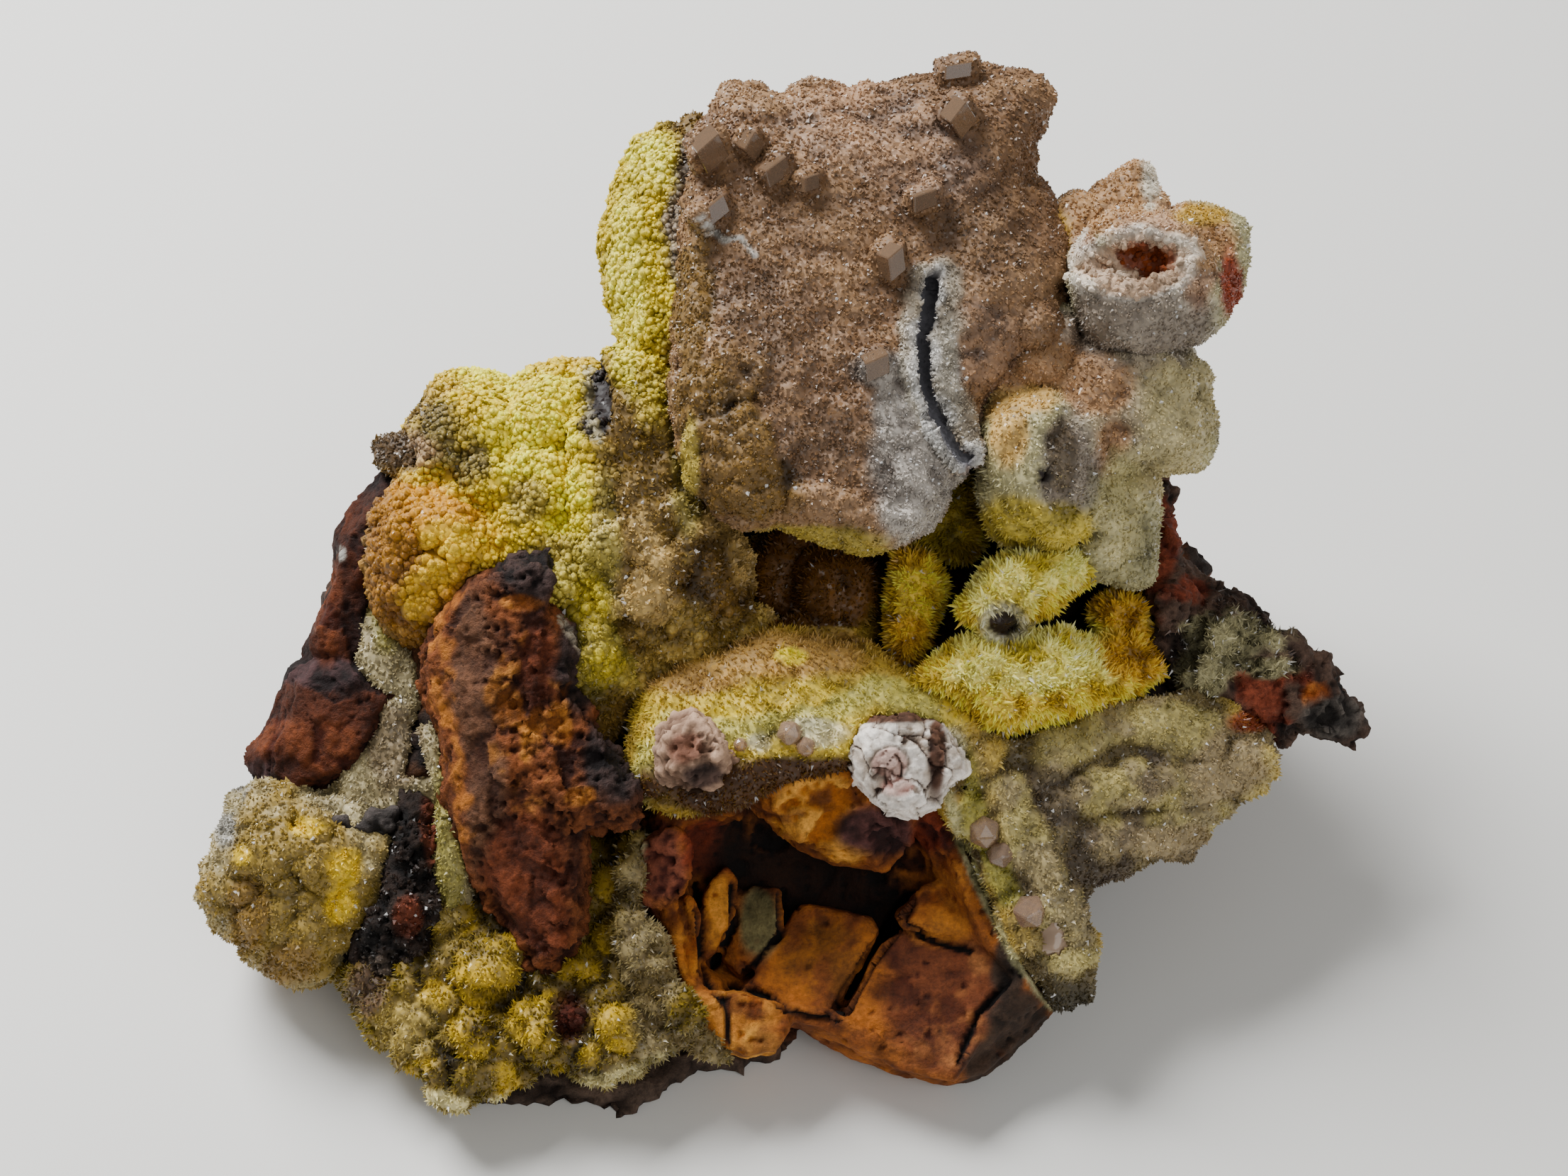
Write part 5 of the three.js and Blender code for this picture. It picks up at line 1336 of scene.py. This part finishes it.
class SPECIMEN_OT_fingers(SpecimenOperator):
    """Grows the spiny fingers of mimetite in the middle."""

    bl_idname = "specimen.fingers"
    bl_label = "Fingers"

    def make(self, sizes):
        for offset, node in enumerate(("fingers", "upright_finger", "back_finger")):
            self.finger(sizes, node, sizes.seed + 10 + offset)

    def finger(self, sizes, node, seed):
        material = druse_material("Finger core", facet=0.35 * MM, tip=0.4, glow=0.2)
        skin = Skin(node, "yellow_druse", material, sizes.middle_skin, swell=-0.45 * MM)
        skin.push(MM * (0.4 * skin.cells(2.0, seed + 130).domes() - 0.2))
        # The hole's inside is painted near-black, as painted shade
        shaded_hole = skin.spots((22.1, -3.6, 1.6, 1.25), ragged=0.08, soft=0.1)
        ring = skin.spots((22.1, -3.6, 2.6, 2.2), ragged=0.1, soft=0.15)
        stub = skin.spots((38.2, -2.4, 1.5, 2), ragged=0.1)
        skin.paint(
            "#b0901a", "#f4d450",
            ("#c4b038", "#fff088", [(28, 3, 7, 3), (26, -7, 10, 3.6), (22, 0, 4, 3)]),
            ("#8a600c", "#dcae38", [(34, -1.6, 3, 3), (12, -6, 3, 3), (35.6, -6.6, 4, 3), (13, 4, 4, 2)]),
            ("#7c6c10", "#bca434", [(16, 11, 5, 9)]),
            ("#8c845c", "#dcd6b4", ring),
            ("#2a1c10", "#5a4434", stub),
            ("#120c0a", "#2c1e16", shaded_hole),
        )
        grow(
            skin, f"{node}_spines", finger_spines(),
            skin.facing(-0.75) * (1 - np.maximum(shaded_hole, stub)) * (1 - 0.5 * ring),
            per_mm2=sizes.spines, tall=1.1 * sizes.spine, wide=1.25 * sizes.spine_girth, seed=seed,
            lean=0.28, dark_foot=0.8, bright_tip=1.6, glints=0.015,
        )


# The nodules and the loose crystals


class SPECIMEN_OT_nodules(SpecimenOperator):
    """Dresses the white and pink cores, the grey twin knob and the clear calcite."""

    bl_idname = "specimen.nodules"
    bl_label = "Nodules and calcite"

    def make(self, sizes):
        chalk = chalky_core()
        self.white_nodule(chalk)
        self.pink_nodule(chalk)
        self.grey_dumbbell()
        self.clear_crystal()

    def white_nodule(self, chalk):
        skin = Skin("white_nodule", "pale_core", chalk, voxel=0.22 * MM, swell=0.15 * MM, soften=3)
        bent = skin.bent(0.7, 1.8, 143)
        plates = Cells(bent, 3.3 * MM, 140)
        crumbs = skin.cells(1.1, 141)
        ring = skin.spots((10.6, -17.8, 2.2, 2.0), ragged=0.1, soft=0.1)
        inner = skin.spots((10.6, -17.8, 1.9, 1.7), ragged=0.1, soft=0.1)
        crack = np.maximum(plates.cracks(0.06), 0.5 * (ring - inner))
        skin.push(MM * (0.4 * plates.tilt + 0.35 * crumbs.tilt - 0.5 * crack - 0.3))
        skin.push(0.15 * MM * skin.rough(1.2, 142, 2))
        skin.paint(
            "#b0a090", "#f4ece2",
            ("#8c6c60", "#d8b8ac", inner),
            ("#c08c80", "#e8c8bc", [(11.4, -20, 1.6, 1)]),
            ("#3a241a", "#5c4030", crack),
            ("#2c1a12", "#6c4c3c", [(15.4, -16.6, 1, 4), (11, -13, 5, 0.7)]),
        )

    def pink_nodule(self, chalk):
        skin = Skin("pink_nodule", "pale_core", chalk, voxel=0.28 * MM, swell=0.15 * MM, soften=2)
        weather(skin, facets=0.3 * MM, relief=0.9 * MM, grain=0.6 * MM, seed=150)
        skin.paint(
            "#584032", "#ae8e76",
            ("#64402f", "#966c5a", [(-10, -16, 2, 1.6)]),
            ("#241814", "#544038", [(-8, -19, 2, 1.4)]),
        )

    def grey_dumbbell(self):
        skin = Skin(
            "grey_dumbbell", "dark_limonite", limonite(),
            voxel=0.22 * MM, swell=0.05 * MM, soften=2,
        )
        skin.push(0.6 * MM * skin.rough(1.2, 160, 3))
        skin.paint("#1c1816", "#4a4340")

    def clear_crystal(self):
        glass = calcite_material("Clear calcite", "#d8b89c", see_through=0.45)
        skin = Skin("clear_crystal", "clear_calcite", glass, voxel=0.4 * MM, swell=0.6 * MM, soften=2)
        skin.push(0.5 * MM * skin.cells(1.8, 170).tilt)


# The floor, the lights and the camera


class SPECIMEN_OT_stage(SpecimenOperator):
    """Lays the pale floor and sets the lights and the camera."""

    bl_idname = "specimen.stage"
    bl_label = "Stage"

    # In metres: half the floor's width, and each lamp's name, place and width
    FLOOR = 1.5
    LAMPS = (("window", (-0.33, 0.37, 0.58), 0.38), ("fill", (0.35, -0.45, 0.5), 0.6))
    FILM_WIDTH = 36

    def make(self, sizes):
        self.floor(sizes)
        self.lamps(sizes)
        self.camera()

    def floor(self, sizes):
        """Lays the floor a hair below the specimen."""
        bm = bmesh.new()
        bmesh.ops.create_grid(bm, x_segments=1, y_segments=1, size=self.FLOOR)
        mesh = bpy.data.meshes.new("floor")
        bm.to_mesh(mesh)
        bm.free()
        floor = bpy.data.objects.new("floor", mesh)
        floor.location.z = -0.02 * MM
        bpy.context.scene.collection.objects.link(floor)
        finish = {"Base Color": (*sizes.floor, 1), "Roughness": 0.6}
        mesh.materials.append(plain_material("Pale floor", finish))

    def lamps(self, sizes):
        middle = Vector(VIEW_TARGET)
        for (name, place, size), power in zip(self.LAMPS, (sizes.lamp, sizes.fill)):
            data = bpy.data.lights.new(name, "AREA")
            data.energy = power
            data.size = size
            lamp = bpy.data.objects.new(name, data)
            lamp.location = place
            lamp.rotation_euler = (Vector(place) - middle).to_track_quat("Z", "Y").to_euler()
            bpy.context.scene.collection.objects.link(lamp)
        world = bpy.data.worlds.new("room")
        world.use_nodes = True
        sky = (*linear("#f2f1ee"), 1)
        set_inputs(world.node_tree.nodes["Background"], {"Color": sky, "Strength": sizes.sky})
        bpy.context.scene.world = world

    def camera(self):
        data = bpy.data.cameras.new("camera")
        data.sensor_width = self.FILM_WIDTH
        data.lens = data.sensor_width * VIEW_DISTANCE / VIEW_WIDTH
        data.clip_start = 0.01
        camera = bpy.data.objects.new("camera", data)
        camera.location = Vector(CAMERA_PLACE)
        camera.rotation_euler = Vector(TOWARDS).to_track_quat("Z", "Y").to_euler()
        bpy.context.scene.collection.objects.link(camera)
        bpy.context.scene.camera = camera


OPERATORS = (
    SPECIMEN_OT_limonite_body,
    SPECIMEN_OT_limonite_rocks,
    SPECIMEN_OT_rust_hollow,
    SPECIMEN_OT_left_druse,
    SPECIMEN_OT_middle_druse,
    SPECIMEN_OT_front_bed,
    SPECIMEN_OT_lower_druse,
    SPECIMEN_OT_tan_slab,
    SPECIMEN_OT_right_cluster,
    SPECIMEN_OT_fingers,
    SPECIMEN_OT_nodules,
    SPECIMEN_OT_stage,
)


class SPECIMEN_PT_panel(bpy.types.Panel):
    """Lists the pieces, sizes and colours of the specimen."""

    bl_label = "Mimetite Specimen"
    bl_idname = "SPECIMEN_PT_panel"
    bl_space_type = "VIEW_3D"
    bl_region_type = "UI"
    bl_category = "Specimen"

    def draw(self, context):
        sizes = context.scene.specimen_look
        for name in sizes.bl_rna.properties.keys():
            if name not in ("rna_type", "name"):
                self.layout.prop(sizes, name)
        for operator in OPERATORS:
            self.layout.operator(operator.bl_idname)


CLASSES = (SpecimenLook, *OPERATORS, SPECIMEN_PT_panel)


def register():
    for item in CLASSES:
        bpy.utils.register_class(item)
    bpy.types.Scene.specimen_look = PointerProperty(type=SpecimenLook)


def unregister():
    del bpy.types.Scene.specimen_look
    for item in reversed(CLASSES):
        bpy.utils.unregister_class(item)


def main():
    register()
    for operator in OPERATORS:
        group, name = operator.bl_idname.split(".")
        getattr(getattr(bpy.ops, group), name)()


if __name__ == "__main__":
    main()
